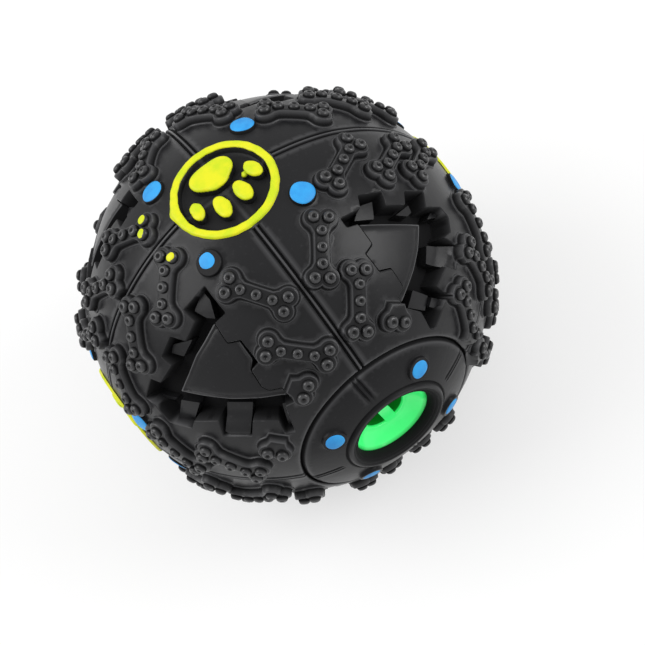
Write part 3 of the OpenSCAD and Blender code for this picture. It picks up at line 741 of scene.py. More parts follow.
class Eighth:
    # One eighth of the ball between three seams, in its pocket's own axes
    def __init__(self, side, rear):
        out = unit(np.array([side, -1.0, 1.0]))
        right = unit(np.array([1.0, side, 0.0]))
        self.axes = np.array([right, np.cross(out, right), out])
        # It stands twice in the ball, over and under the level seam
        self.flips = [np.array([1, -1 if rear else 1, below]) for below in (1, -1)]
        # The seams' planes; each is also the way of the corner opposite
        self.seams = [self.axes @ n for n in ((side, 0, 0), (0, -1, 0), (0, 0, 1))]
        self.port = None if rear else self.seams[1]
        self.prints = [corner for corner in self.seams if corner is not self.port]
        self.points, self.edges, self.count = [], [], 0
        kind = rightKind if side > 0 else leftKind
        self.bones = [(placeTurn(place), key == "stubs") for key in ("bones", "stubs") for place in kind[key]]
        scale = np.array([-side, 1]) * pocket["reach"]
        self.hole = softOutline(np.array(kind["hole"]) * scale, 0.35, 1.3)
        self.plate = softOutline(np.array(kind["plate"]) * scale, 0.4, 1.3)
        self.steps = [(softOutline(np.array(outline) * scale, 0.25, 1.6), depth, lift)
                      for outline, depth, lift in kind["steps"]]
        tilt = math.radians(dot["angle"])
        self.dots = []
        for corner in self.prints:
            towards = unit(np.array([0, 0, 1.0]) - corner * corner[2])
            self.dots.append(corner * math.cos(tilt) + towards * math.sin(tilt))

    def fromEdges(self, ways):
        # Distance from the nearest seam's middle or the port's edge, negative beyond it
        away = np.arcsin(np.clip((ways @ np.array(self.seams).T).min(1), -1, 1))
        if self.port is not None:
            away = np.minimum(away, angleFrom(ways, self.port) - portAngle)
        return away * skin["radius"]

    def addLine(self, ways, closed, keep=True):
        # Behind the pocket's own side there is nothing to draw
        keep = (ways[:, 2] > 0.2) & keep
        place = np.cumsum(keep) - 1 + self.count
        self.points.append(waysToPlane(ways[keep]))
        self.count += len(self.points[-1])
        for i in range(len(ways) if closed else len(ways) - 1):
            after = (i + 1) % len(ways)
            if keep[i] and keep[after]:
                self.edges.append((place[i], place[after]))

    def drawLines(self):
        radius = skin["radius"]
        quarter = math.pi / 2
        # Seams with their ridge and grooves
        ridgePoints, groovePoints = skin["seamPoints"]
        for i, normal in enumerate(self.seams):
            first, second = self.seams[i - 1], self.seams[i - 2]
            start, end = (portAngle if corner is self.port else ringEnd + 0.004 for corner in (first, second))
            for offs, arc in ((seamOffs[:1], np.linspace(0, quarter, ridgePoints)),
                              (seamOffs[1:], np.linspace(start, quarter - end, groovePoints))):
                line = first * np.cos(arc)[:, None] + second * np.sin(arc)[:, None]
                for lift in offs / radius:
                    self.addLine(line * math.cos(lift) + normal * math.sin(lift), False)
        # Corners: the port's edge or a paw print
        offs = seamOffs / port["rim"]
        clear = offs[-1] + port["grooveGap"]
        between = np.linspace(0, quarter, port["points"])
        between = between[(between > clear) & (between < quarter - clear)]
        for corner in self.seams:
            turn = np.linspace(0, quarter, skin["printPoints"])[:, None]
            tilts = [math.atan2(*pair) for pair in ringLines[1:]]
            if corner is self.port:
                turn = np.concatenate([offs, between, quarter - offs[::-1]])[:, None]
                tilts = [portAngle + off / radius for off, _ in port["bevel"]]
            first, second = [s for s in self.seams if abs(s @ corner) < 0.5]
            spokes = first * np.cos(turn) + second * np.sin(turn)
            for tilt in tilts:
                self.addLine(corner * math.cos(tilt) + spokes * math.sin(tilt), False)
        for middle in self.dots:
            for ring in dotRings(middle, (0.3, 0.5, 0.8), dot["points"]):
                self.addLine(ring, True)
        # Bones, kept off the seams and the port
        for turn, stub in self.bones:
            for off, _ in bone["profile"]:
                ways = flatToWays(boneRing(off, stub), boneRadius) @ turn.T
                self.addLine(ways, True, self.fromEdges(ways) > bone["clear"])
        # Pocket
        for off, _ in pocket["wall"][::-1]:
            self.addLine(flatToWays(pushedOut(self.hole, off), radius), True)
        inner = [(self.plate, off) for off, _ in pocket["rim"]]
        inner += [(outline, off) for outline, _, _ in self.steps for off in pocket["stepSide"]]
        for outline, off in inner:
            line = pushedOut(outline, off)
            inHole = toPolygon(line, self.hole) < pocket["lineEnd"]
            self.addLine(flatToWays(line, radius), True, inHole)

    def fill(self):
        rows = skin["grid"]
        grid = [(i, j, rows - i - j) for i in range(rows + 1) for j in range(rows + 1 - i)]
        # Steps of angle along each edge spread the points more evenly than steps of length
        share = np.sin(np.array(grid) / rows * math.pi / 2)
        ways = unit(share @ np.array(self.seams))
        ways = ways[self.fromEdges(ways) > skin["clear"]]
        lines = planeToWays(np.concatenate(self.points)).T
        near = np.concatenate([(some @ lines).max(1) for some in np.array_split(ways, len(ways) // 400 + 1)])
        return ways[near < math.cos(skin["clear"] / skin["radius"])]

    def pocketLevels(self, flat, toHole):
        # Depth of the plate, crack, steps and channel at flat places near the hole, and the painted shade
        # there
        wall = -pocket["deep"] * profileOf(pocket["wall"], toHole)
        toPlate = toPolygon(flat, self.plate)
        best = -profileOf(pocket["rim"], toPlate) - profileOf(pocket["crack"], toHole)
        dark = np.clip(-np.maximum(wall, best) / pocket["dark"], 0, 1)
        dark = np.maximum(dark, profileOf(pocket["wallShade"], toHole))
        dark = np.where(toPlate < -0.05, profileOf(pocket["crackShade"], toHole), dark)
        for outline, depth, lift in self.steps:
            toStep = toPolygon(flat, outline)
            rise = np.interp(-flat[:, 1] / pocket["reach"], pocket["stepRise"], (0, lift))
            top = -depth + rise * (depth - pocket["stepTop"])
            side = np.interp(toStep, pocket["stepSide"], (0, 1))
            best = np.maximum(best, top - side * (pocket["deep"] + top))
            dark = np.where(toStep < 0.05, 0.0, dark)
        return np.maximum(wall, best), toPlate, dark

    def heights(self, ways):
        radius = skin["radius"]
        level, wearAndHighlight = np.zeros((2, len(ways)))
        for normal in self.seams:
            off = np.abs(np.arcsin(np.clip(ways @ normal, -1, 1)) * radius)
            height = profileOf(skin["seam"], off)
            level = np.where(np.abs(height) > np.abs(level), height, level)
            wearAndHighlight += profileOf(skin["seamWearAndHighlight"], off)
        # Painted shade: full in the grooves, then in the pocket, round the port, at the bones' feet, the dots
        # and the print floors
        hollow = np.clip(-level / skin["grooveDeep"], 0, 1)
        # The pocket with its plate and steps
        flat = ways[:, :2] * radius
        toHole = toPolygon(flat, self.hole)
        inside = toHole < pocket["near"]
        toHole = toHole[inside]
        depth, toPlate, hollow[inside] = self.pocketLevels(flat[inside], toHole)
        level[inside] = np.minimum(level[inside], depth)
        # Wear and painted highlights on the hole's edge and the plate's rim
        wearAndHighlight[inside] += profileOf(pocket["edgeWearAndHighlight"], toHole)
        wearAndHighlight[inside] += profileOf(pocket["plateWearAndHighlight"], toPlate) * (toHole < pocket["plateWearAndHighlightFrom"])
        # The port's bevelled edge
        if self.port is not None:
            away = (angleFrom(ways, self.port) - portAngle) * radius
            level = level - profileOf(port["bevel"], away)
            hollow = np.maximum(hollow, profileOf(port["shade"], away))
            wearAndHighlight += profileOf(port["wearAndHighlight"], away)
        total = radius + level
        # Bones
        fade = np.interp(self.fromEdges(ways), bone["edgeGap"], (0, 1))
        for turn, stub in self.bones:
            own = ways @ turn
            close = own[:, 2] > 0.95
            here = own[close] * boneRadius
            off = boneDistance(here[:, 0], here[:, 1], stub)
            clear = fade[close]
            base = np.where(off > 0.05, level[close], level[close] * (1 - clear))
            risen = radius + base + profileOf(bone["profile"], off) * clear * bone["rise"]
            risen = np.maximum(risen, total[close])
            total[close] = np.where(off < bone["profile"][-1][0], risen, total[close])
            wearAndHighlight[close] += profileOf(bone["wearAndHighlight"], off) * clear
            foot = np.maximum(hollow[close], profileOf(bone["shade"], off) * clear)
            hollow[close] = np.where(off < bone["shade"][0][0], 0, foot)
        for middle in self.dots:
            off, close = raiseDot(ways, middle, total)
            hollow[close] = np.maximum(hollow[close], profileOf(dot["shade"], off))
        for corner in self.prints:
            angle = angleFrom(ways, corner)
            close = angle < ringEnd
            total[close] = rayHits(ringLines, angle[close])
            hollow[close] = (angle[close] < math.atan2(*ringLines[4])) * printRing["shade"]
        return total, np.clip(wearAndHighlight, 0, 1), hollow

    def build(self):
        self.drawLines()
        self.points.append(waysToPlane(self.fill()))
        plane, faces = triangulated(self.points, self.edges)
        ways = planeToWays(plane)
        middles = unit(ways[faces].mean(1))
        sliver = 1e-5            # a face whose points all lie on a seam's line
        keep = (middles @ np.array(self.seams).T).min(1) > sliver
        if self.port is not None:
            keep &= angleFrom(middles, self.port) > portAngle
        used, faces = np.unique(faces[keep], return_inverse=True)
        ways = ways[used]
        radii, wearAndHighlight, hollow = self.heights(ways)
        return ways @ self.axes, radii, faces.reshape(-1, 3), wearAndHighlight, hollow


eighths = [Eighth(side, rear) for side in (1, -1) for rear in (False, True)]


def wholeSkin():
    points, faces, wearAndHighlight, hollow = [], [], [], []
    count = 0
    for piece in eighths:
        ways, radii, triangles, wornAndLit, deep = piece.build()
        for flip in piece.flips:
            points.append(ways * flip * radii[:, None])
            # Mirrored once, its faces turn round
            faces.append((triangles if flip.prod() > 0 else triangles[:, ::-1]) + count)
            wearAndHighlight.append(wornAndLit)
            hollow.append(deep)
            count += len(ways)
    points = np.concatenate(points)
    ways = unit(points)
    swell = sum(waves(points, length, seed) * share for length, seed, share in skin["waves"])
    aside = np.degrees(np.arccos(np.clip(np.abs(ways).max(1), -1, 1)))
    calm = np.interp(aside, skin["calm"], (0, 1))
    points = points + ways * (swell * skin["swell"] * calm)[:, None]
    return points, np.concatenate(faces), {"wearAndHighlight": np.concatenate(wearAndHighlight), "hollow": np.concatenate(hollow)}


def insideRadius(way):
    # The ball's inside along a way from its centre: thicker behind pockets and paw prints
    toPocket = math.degrees(math.acos(min(1, sum(abs(c) for c in way) / math.sqrt(3))))
    plain = skin["radius"] - skin["wall"]
    radius = float(np.interp(toPocket, skin["pocketReach"], (skin["pocketBoss"], plain)))
    along = max(abs(c) for c in way)
    aside = math.degrees(math.acos(min(1, along)))
    reach = math.degrees(math.atan2(skin["printReach"], skin["printBoss"]))
    return float(np.interp(aside, (reach, reach + 3), (min(radius, skin["printBoss"] / along), radius)))


def closeSkin(mesh):
    # The port's wall and the ball's inside, from the open edge to the rear
    work = bmesh.new()
    work.from_mesh(mesh)
    hollow = work.verts.layers.float["hollow"]
    rim = {v for e in work.edges if e.is_boundary for v in e.verts}
    print("open edge:", len(rim), "points")
    rim = [v for v in rim if abs(math.hypot(v.co.x, v.co.z) / mm - port["rim"]) < 1 and v.co.y < 0]
    rim.sort(key=lambda v: math.atan2(v.co.z, v.co.x))
    turns = [math.atan2(v.co.z, v.co.x) for v in rim]
    rows = [[corner] * len(rim) for corner in port["wall"]]
    for angle in np.linspace(math.atan2(*port["wall"][-1]), math.pi, 30)[:-1]:
        sine, cosine = math.sin(angle), math.cos(angle)
        radii = [insideRadius((sine * math.cos(turn), -cosine, sine * math.sin(turn))) for turn in turns]
        rows.append([(radius * sine, radius * cosine) for radius in radii])
    rings = [[work.verts.new(Vector((rho * math.cos(turn), -height, rho * math.sin(turn))) * mm)
              for turn, (rho, height) in zip(turns, row)] for row in rows]
    rings.append([work.verts.new(Vector((0, skin["printBoss"], 0)) * mm)] * len(rim))
    # The port's wall and the ball's inside are fully in painted shade
    for ring in rings:
        for point in ring:
            point[hollow] = 1.0
    for face in rowFaces([rim] + rings):
        work.faces.new(face)
    bmesh.ops.recalc_face_normals(work, faces=work.faces)
    print("skin edges without two faces:", sum(len(e.link_faces) != 2 for e in work.edges))
    work.to_mesh(mesh)
    work.free()


def makeSkin():
    points, faces, fields = wholeSkin()
    piece = makeObject("ballSkin", points, faces, materials["shell"], fields)
    closeSkin(piece.data)
    smoothMesh(piece.data, skin["sharp"])
    print("skin:", len(piece.data.vertices), "vertices,", len(piece.data.polygons), "faces")
    handOver(piece, "ball_shell")


makeSkin()
print("skin made")


# Geometry Nodes: copies of a small shape over marked points
def scatterTree():
    tree = bpy.data.node_groups.new("scatter", "GeometryNodeTree")
    sockets = {}
    for name, kind in (("Geometry", "Geometry"), ("Shape", "Object"), ("Spread", "Float"), ("Seed", "Int"),
                       ("Finish", "Material")):
        socket = tree.interface.new_socket(name, in_out="INPUT", socket_type="NodeSocket" + kind)
        sockets[name] = socket.identifier
    tree.interface.new_socket("Geometry", in_out="OUTPUT", socket_type="NodeSocketGeometry")
    given = {name: Wire(tree, socket) for name, socket in tree.nodes.new("NodeGroupInput").outputs.items()}
    points, seed, spread = (given[name] for name in ("Geometry", "Seed", "Spread"))
    shape = points.node("GeometryNodeObjectInfo", {}, {"Object": given["Shape"]}, "Geometry")
    outward, share = (
        points.node("GeometryNodeInputNamedAttribute", {"data_type": kind}, {"Name": name}, "Attribute")
        for name, kind in (("outward", "FLOAT_VECTOR"), ("share", "FLOAT")))
    align = points.node("FunctionNodeAlignRotationToVector", {"axis": "Z"}, {"Vector": outward}, "Rotation")
    twist = points.node("FunctionNodeRandomValue", {"data_type": "FLOAT_VECTOR"},
                        {0: (0, 0, 0), 1: (0, 0, 2 * math.pi), "Seed": seed})
    turned = points.node("FunctionNodeRotateRotation", {"rotation_space": "LOCAL"},
                         {"Rotation": align, "Rotate By": twist}, "Rotation")
    growth = points.node("FunctionNodeRandomValue", {"data_type": "FLOAT"},
                         {2: 1.0 - spread, 3: 1.0 + spread, "Seed": seed}, 1)
    copies = points.node("GeometryNodeInstanceOnPoints", {}, {
        "Points": points, "Instance": shape, "Rotation": turned, "Scale": share * growth})
    real = points.node("GeometryNodeRealizeInstances", {}, {"Geometry": copies})
    done = points.node("GeometryNodeSetMaterial", {}, {"Geometry": real, "Material": given["Finish"]})
    setInputs(tree.nodes.new("NodeGroupOutput"), {"Geometry": done})
    return tree, sockets


scatter, scatterSockets = scatterTree()


def scattered(name, places, outwards, shares, shape, spread, seed):
    # A plain mesh of the shape's copies, each standing on its place along its outward way.
    # A copy's size is its place's share, give or take the spread.
    mesh = bpy.data.meshes.new(name + "Points")
    mesh.from_pydata((np.asarray(places) * mm).tolist(), [], [])
    for field, kind, key, values in (("outward", "FLOAT_VECTOR", "vector", outwards),
                                     ("share", "FLOAT", "value", shares)):
        layer = mesh.attributes.new(field, kind, "POINT")
        layer.data.foreach_set(key, np.asarray(values, np.float32).ravel())
    carrier = addObject(name + "Points", mesh)
    modifier = carrier.modifiers.new("scatter", "NODES")
    modifier.node_group = scatter
    given = {"Shape": shape, "Spread": spread, "Seed": seed, "Finish": shape.data.materials[0]}
    for key, value in given.items():
        modifier[scatterSockets[key]] = value
    ready = carrier.evaluated_get(bpy.context.evaluated_depsgraph_get())
    made = addObject(name, bpy.data.meshes.new_from_object(ready))
    made.data.name = name
    carrier.modifiers.remove(modifier)
    bpy.data.objects.remove(carrier)
    bpy.data.objects.remove(shape)
    smoothMesh(made.data, 60)
    return made


def lathe(profile, count, wobble=None):
    # Points and faces of a profile of (rho, z) pairs turned about z; rho 0 closes at a pole
    points, rings = [], []
    turns = np.arange(count) * 2 * math.pi / count
    for row, (rho, height) in enumerate(profile):
        start = len(points)
        if rho == 0:
            points.append((0.0, 0.0, height))
            rings.append([start] * count)
            continue
        reach = rho + (wobble(row, turns) if wobble else 0 * turns)
        points += list(zip(reach * np.cos(turns), reach * np.sin(turns), np.full(count, height)))
        rings.append(list(range(start, start + count)))
    return np.array(points), rowFaces(rings)


def joined(parts):
    points, faces, count = [], [], 0
    for some, those in parts:
        points.append(some)
        faces += [[i + count for i in face] for face in those]
        count += len(some)
    return np.concatenate(points), faces


# The round pips on the bones: low domes with a dimple
pip = {
    "profile": ((1.62, -0.4), (1.60, 0.25), (1.32, 0.92), (0.90, 1.20), (0.54, 1.12), (0.25, 0.72),
                (0, 0.60)),
    # by the distance from its axis: painted shade in the dimple and round the foot, then wear and a painted
    # highlight on the ring
    "shade": ((0.25, 0.55), (0.54, 0.35), (0.9, 0), (1.3, 0), (1.6, 0.9)),
    "wearAndHighlight": ((0.6, 0), (0.9, 0.4), (1.2, 0.4), (1.4, 0)),
    "sides": 14,
    "along": (-4.0, 0.0, 4.0),
    "lobeShare": 1.03,
    "shankShare": 0.96,
    "spread": 0.04,
    "seed": 7,
    "clear": 1.7,            # from its middle to a seam or the port
    # ways from the ball's centre to the pips that carry a dab of yellow
    "painted": ((-0.353, 0.125, 0.927), (-0.391, 0.075, 0.917), (-0.353, -0.125, 0.927)),
    "dabSides": 18,
    "dabWander": 0.10,
    "dab": ((0, 0.8), (0.80, 0.84), (1.08, 1.10), (0.84, 1.29), (0.35, 1.30), (0, 1.28)),
}
boneTop = skin["radius"] + bone["rise"]


def pipPlaces():
    span, gap = bone["span"] / 2, bone["gap"] / 2
    cut = [(0, -gap), (0, gap)]
    whole = [(x, y) for x in (-span, span) for y in (-gap, gap)] + [(x, 0) for x in pip["along"]]
    places, shares = [], []
    for piece in eighths:
        for turn, stub in piece.bones:
            spots = np.array(cut if stub else whole)
            own = flatToWays(spots, boneRadius) @ turn.T
            clear = piece.fromEdges(own) > pip["clear"]
            for flip in piece.flips:
                places.append(own[clear] @ piece.axes * flip)
                shares.append(np.where(spots[clear][:, 1] == 0, pip["shankShare"], pip["lobeShare"]))
    return np.concatenate(places), np.concatenate(shares)


def makePips():
    points, faces = lathe(pip["profile"], pip["sides"])
    faces.append(list(range(pip["sides"]))[::-1])
    rho = np.hypot(points[:, 0], points[:, 1])
    # Painted shade in the dimple and round the foot; wear and a painted highlight on the ring
    fields = {"hollow": profileOf(pip["shade"], rho), "wearAndHighlight": profileOf(pip["wearAndHighlight"], rho)}
    shape = makeObject("pipShape", points, faces, materials["pip"], fields)
    ways, shares = pipPlaces()
    pips = scattered("bonePips", ways * boneTop, ways, shares, shape, pip["spread"], pip["seed"])
    handOver(pips)
    return ways


def makeDabs(allWays):
    def wander(row, turns):
        return pip["dabWander"] * np.cos(2 * turns + row) * (row > 1)

    points, faces = lathe(pip["dab"], pip["dabSides"], wander)
    shape = makeObject("dabShape", points, faces, materials["yellow"], {"paint": np.ones(len(points))})
    ways = np.array([allWays[np.argmax(allWays @ np.array(way))] for way in pip["painted"]])
    shares = np.full(len(ways), pip["lobeShare"])
    handOver(scattered("yellowDabs", ways * boneTop, ways, shares, shape, 0.02, 3))


makeDabs(makePips())
print("pips made")


# Blue paint caps on the round dots
cap = {
    # radius and height, from its foot to its top
    "profile": ((0, -0.25), (2.73, -0.25), (3.08, -0.02), (3.0, 0.10), (2.68, 0.22), (1.694, 0.36),
                (0, 0.42)),
    "sides": 28,
    "wander": 0.13,          # of its rim; its foot wanders less
    "footShare": 0.6,
    "collarShare": 0.80,
    "frontLeft": 0.84,       # the cap of the top print's front left dot is smaller
    "nudge": (0.05, 0.75, 0.0),
    "spread": 0.03,
}


def capShape(name, seed):
    # An uneven brushed-on disc: its rim wanders and its top is domed
    rng = np.random.default_rng(seed)
    phases = rng.uniform(0, 2 * math.pi, 4)

    def wander(row, turns):
        total = sum(np.cos((k + 2) * turns + phases[k]) / (k + 2) for k in range(4))
        return total * cap["wander"] * (1.0 if row > 1 else cap["footShare"])

    points, faces = lathe(cap["profile"], cap["sides"], wander)
    return makeObject(name, points, faces, materials["blue"], {"paint": np.ones(len(points))})


def aroundAxis(axis, first, degrees):
    # Four ways tilted from an axis, at the middles between the seams
    axis, first = np.array(axis, float), np.array(first, float)
    tilt = math.radians(degrees)
    turns = np.radians([45, 135, 225, 315])[:, None]
    spokes = first * np.cos(turns) + np.cross(axis, first) * np.sin(turns)
    return axis * math.cos(tilt) + spokes * math.sin(tilt)


def makeCaps():
    ways = np.concatenate([aroundAxis(axis, first, dot["angle"]) for axis, first in (
        ((0, 0, 1), (1, 0, 0)), ((0, 0, -1), (1, 0, 0)), ((1, 0, 0), (0, 1, 0)), ((-1, 0, 0), (0, 1, 0)),
        ((0, 1, 0), (1, 0, 0)))])
    shares = np.ones(len(ways))
    frontLeft = int(np.argmax(ways @ unit(np.array([-0.25, -0.25, 0.93]))))
    shares[frontLeft] = cap["frontLeft"]
    places = ways * dotTop
    places[frontLeft] += cap["nudge"]
    shape = capShape("capShape", 4)
    caps = scattered("blueCaps", places, ways, shares, shape, cap["spread"], 11)
    handOver(caps, "blue_dots")
    # The collar's own dots follow its turn
    ways = collarDots @ mouthTurn().T
    shares = np.full(len(ways), cap["collarShare"])
    shape = capShape("collarCapShape", 9)
    caps = scattered("collarCaps", ways * dotTop, ways, shares, shape, cap["spread"], 5)
    handOver(caps, "collar_dots")


# The mouth's collar, in its own axes: z points out of the ball
collar = {
    "turn": 6.9,
    "radius": 25.5,
    "bevel": ((0.0, 0.60), (0.36, 0.14), (0.80, 0.0)),   # from the rim inwards: depth
    # at the rim: wear with a painted highlight, then painted shade
    "rimWearAndHighlight": ((0.2, 0), (0.4, 0.7), (0.6, 0.7), (0.9, 0)),
    "rimShade": ((0.0, 0.9), (0.3, 0)),
    # the seams' grooves on it: where they start, their share of a seam's relief, and their wear and painted
    # highlight
    "grooveStart": (17.0, 18.5),
    "grooveShare": 0.6,
    "grooveWearAndHighlight": ((1.2, 0), (1.35, 0.7), (1.5, 0.7), (1.9, 0)),
    # radius and height of the lip, from the collar's face over the crest to the hole.
    # None is the height of the ball's own surface
    "lip": ((16.2, None), (15.6, 53.12), (15.3, 52.94), (15.05, 52.94), (14.88, 53.25), (14.62, 53.82),
            (14.32, 54.1), (13.95, 54.14), (13.6, 53.98), (13.42, 53.86), (13.18, 53.9), (12.7, 53.6),
            (12.5, 53.42), (12.22, 53.44), (11.75, 53.1), (11.5, 52.8), (11.3, 52.3)),
    # wear and painted highlights on the lip's crest and two rings inside it
    "lipWearAndHighlight": ((12.05, 0), (12.3, 0.3), (12.55, 0), (12.95, 0), (13.2, 0.4), (13.45, 0), (13.95, 0),
                (14.1, 0.3), (14.5, 0.3), (14.62, 0)),
    # painted shade inside the lip and in the groove round it
    "lipShade": ((11.3, 0.9), (13.4, 0.50), (13.95, 0.1), (14.62, 0), (14.9, 0.6), (15.3, 0.6), (15.6, 0)),
    "under": ((11.2, 52.0), (11.2, 51.2), (12.0, 51.2), (12.0, 48.0), (19.2, 48.0), (19.2, 41.66),
              (23.3, 41.66), (24.5, 41.66), (24.5, 42.66), (23.3, 42.81), (23.3, 46.81), (25.5, 46.81)),
    "step": 1.2,            # spacing of the filling points
    "clear": 0.45,          # from them to any line
    "bevelClear": 0.9,      # and to the rim
    "swell": 0.07,          # soft unevenness, by the distance from the axis
    "swellReach": ((16, 0), (18, 1), (25, 1), (25.9, 0)),
    "waves": (20.0, 8),     # their length and seed
}
collarDots = aroundAxis((0, 0, 1), (1, 0, 0), dot["collarAngle"])
quarters = [quarter * math.pi / 2 for quarter in range(4)]
# The way of each groove, and across it
crosses = [flatTurn(turn) for turn in quarters]


def mouthTurn():
    tip = np.array([[1, 0, 0], [0, 0, -1], [0, 1, 0]], float)
    return tip @ turnAbout((0, 0, 1), collar["turn"])


def collarPlane(lip):
    # The visible side seen along the axis: the lines that the mesh must keep, and filling points
    rim = collar["radius"]
    points, edges = [], []

    def addLine(line, closed=True):
        start = sum(len(p) for p in points)
        points.append(line)
        size = len(line)
        edges.extend((start + i, start + (i + 1) % size) for i in range(size if closed else size - 1))

    offs = np.concatenate([-seamOffs[:0:-1], seamOffs])
    far = offs[-1] / rim + port["grooveGap"]
    turns = []
    for quarter in quarters:
        between = quarter + np.linspace(0, math.pi / 2, port["points"])
        turns += list(quarter + np.arcsin(offs / rim))
        turns += [turn for turn in between if quarter + far < turn < quarter + math.pi / 2 - far]
    around = np.stack([np.cos(turns), np.sin(turns)], 1)
    for rho in [rim - away for away, _ in collar["bevel"]] + [rho for rho, _ in lip]:
        addLine(around * rho)
    for along, across in crosses:
        for off in offs:
            reach = np.linspace(collar["grooveStart"][0], math.sqrt(rim ** 2 - off ** 2), 9)[:, None]
            addLine(reach * along + off * across, False)
    for middle in collarDots:
        for ring in dotRings(middle, (0, 0, 1.0), dot["collarPoints"]):
            addLine(ring[:, :2] * skin["radius"])
    step = collar["step"]
    lattice = np.array([(i * step + (j % 2) * step / 2, j * step * 0.866)
                        for i in range(-24, 25) for j in range(-27, 28)])
    rho = np.hypot(*lattice.T)
    lattice = lattice[(rho > lip[0][0]) & (rho < rim - collar["bevelClear"])]
    gap = np.hypot(*(lattice[:, None] - np.concatenate(points)[None]).T).min(0)
    points.append(lattice[gap > collar["clear"]])
    return triangulated(points, edges)


def collarTop():
    radius, rim = skin["radius"], collar["radius"]
    lip = [(rho, onSphere(rho, radius) if height is None else height) for rho, height in collar["lip"]]
    flat, faces = collarPlane(lip)
    faces = faces[np.hypot(*flat[faces].mean(1).T) > lip[-1][0]]
    rho = np.hypot(*flat.T)
    height = np.where(rho > lip[0][0], onSphere(rho, radius), profileOf(lip[::-1], rho))
    height -= profileOf(collar["bevel"], rim - rho)
    # Wear with painted highlights, and painted shade, on the lip, the rim and the grooves
    wearAndHighlight = profileOf(collar["lipWearAndHighlight"], rho) + profileOf(collar["rimWearAndHighlight"], rim - rho)
    hollow = profileOf(collar["lipShade"], rho) + profileOf(collar["rimShade"], rim - rho)
    for along, across in crosses:
        share = np.interp(flat @ along, collar["grooveStart"], (0, collar["grooveShare"]))
        off = np.abs(flat @ across)
        relief = profileOf(skin["seam"], off) * share
        height += relief
        wearAndHighlight += profileOf(collar["grooveWearAndHighlight"], off) * share
        hollow = np.maximum(hollow, np.clip(-relief / skin["grooveDeep"], 0, 1))
    solid = np.column_stack([flat, height])
    ways, reach = unit(solid), np.linalg.norm(solid, axis=1)
    for middle in collarDots:
        raiseDot(ways, middle, reach)
    return ways * reach[:, None], faces.tolist(), np.clip(wearAndHighlight, 0, 1), hollow


def rimOrder(points, rho):
    # The points at this radius, in order round the axis
    found = np.where(np.abs(np.hypot(points[:, 0], points[:, 1]) - rho) < samePoint)[0]
    return found[np.argsort(np.arctan2(points[found, 1], points[found, 0]))]


def makeCollar():
    top, faces, wearAndHighlight, hollow = collarTop()
    outer = rimOrder(top, collar["radius"])
    inner = rimOrder(top, collar["lip"][-1][0])
    print("collar rims:", len(outer), len(inner))
    turns = np.arctan2(top[outer, 1], top[outer, 0])
    size = len(turns)
    points, rows = [top], [inner]
    count = len(top)
    for rho, height in collar["under"]:
        points.append(np.column_stack([rho * np.cos(turns), rho * np.sin(turns), np.full(size, height)]))
        rows.append(np.arange(count, count + size))
        count += size
    faces += rowFaces(rows + [outer])
    points = np.concatenate(points)
    hidden = count - len(top)
    rho = np.hypot(points[:, 0], points[:, 1])
    swell = waves(points, *collar["waves"]) * profileOf(collar["swellReach"], rho)
    outside = points[:, 2] > onSphere(rho, skin["radius"]) - 1
    points = points + unit(points) * (swell * outside * collar["swell"])[:, None]
    # The hidden underside is fully in painted shade
    fields = {"wearAndHighlight": np.append(wearAndHighlight, np.zeros(hidden)), "hollow": np.append(hollow, np.ones(hidden))}
    points = points @ mouthTurn().T
    piece = makeObject("collarSkin", points, faces, materials["collar"], fields, skin["sharp"])
    handOver(piece, "mouth_collar")


makeCollar()
makeCaps()
print("collar and caps made")


# The green dish behind the mouth
dish = {
    "sides": 96,
    "rim": 11.83,
    "face": 51.2,
    "bowl": ((11.0, 51.15), (10.4, 50.35), (9.6, 49.45), (8.7, 48.75), (7.8, 48.2), (7.1, 47.95),
             (6.7, 47.88), (6.3, 47.84), (6.1, 47.76), (6.0, 47.60), (5.98, 47.35)),
    "spout": (1.2, 43.4),   # wall and end of the short pipe behind the hole
    # painted shade: from none in the bowl to full at its edge under the lip, and down the hole
    "edgeShade": ((10.4, 0.0), (11.1, 0.7)),
    "holeShade": ((47.0, 1.0), (47.35, 0.0)),
    "back": 45.9,
    "seat": 48.0,
    "outer": 18.85,
    "bar": {"half": 1.6, "long": 7.0, "top": 47.86, "thick": 1.6, "bevel": 0.12},
}


def makeDish():
    rim, face, outer, back, seat = (dish[key] for key in ("rim", "face", "outer", "back", "seat"))
    hole = dish["bowl"][-1][0]
    wall, end = dish["spout"]
    profile = ((rim, face), *dish["bowl"], (hole, dish["holeShade"][0][0]), (hole, end), (hole + wall, end),
               (hole + wall, back), (outer, back), (outer, seat), (rim, seat), (rim, face))
    bowl = lathe(profile, dish["sides"])
    rho = np.hypot(bowl[0][:, 0], bowl[0][:, 1])
    # Painted shade under the lip and down the hole
    shade = np.maximum(profileOf(dish["edgeShade"], rho), profileOf(dish["holeShade"], bowl[0][:, 2]))
    half, long, top, thick, bevel = (dish["bar"][key] for key in ("half", "long", "top", "thick", "bevel"))
    section = [(-half + bevel, top), (half - bevel, top), (half, top - bevel), (half, top - thick),
               (-half, top - thick), (-half, top - bevel)]
    points = [(x, y, z) for y in (-long, long) for x, z in section]
    ends = [list(range(6)), list(range(6, 12))]
    faces = rowFaces(ends) + [ends[0][::-1], ends[1]]
    points, faces = joined([bowl, (np.array(points), faces)])
    fields = {"hollow": np.append(shade, np.zeros(12))}
    piece = makeObject("dishBowl", points @ mouthTurn().T, faces, materials["green"], fields, 35)
    handOver(piece, "dispensing_dish")


makeDish()
print("dish made")


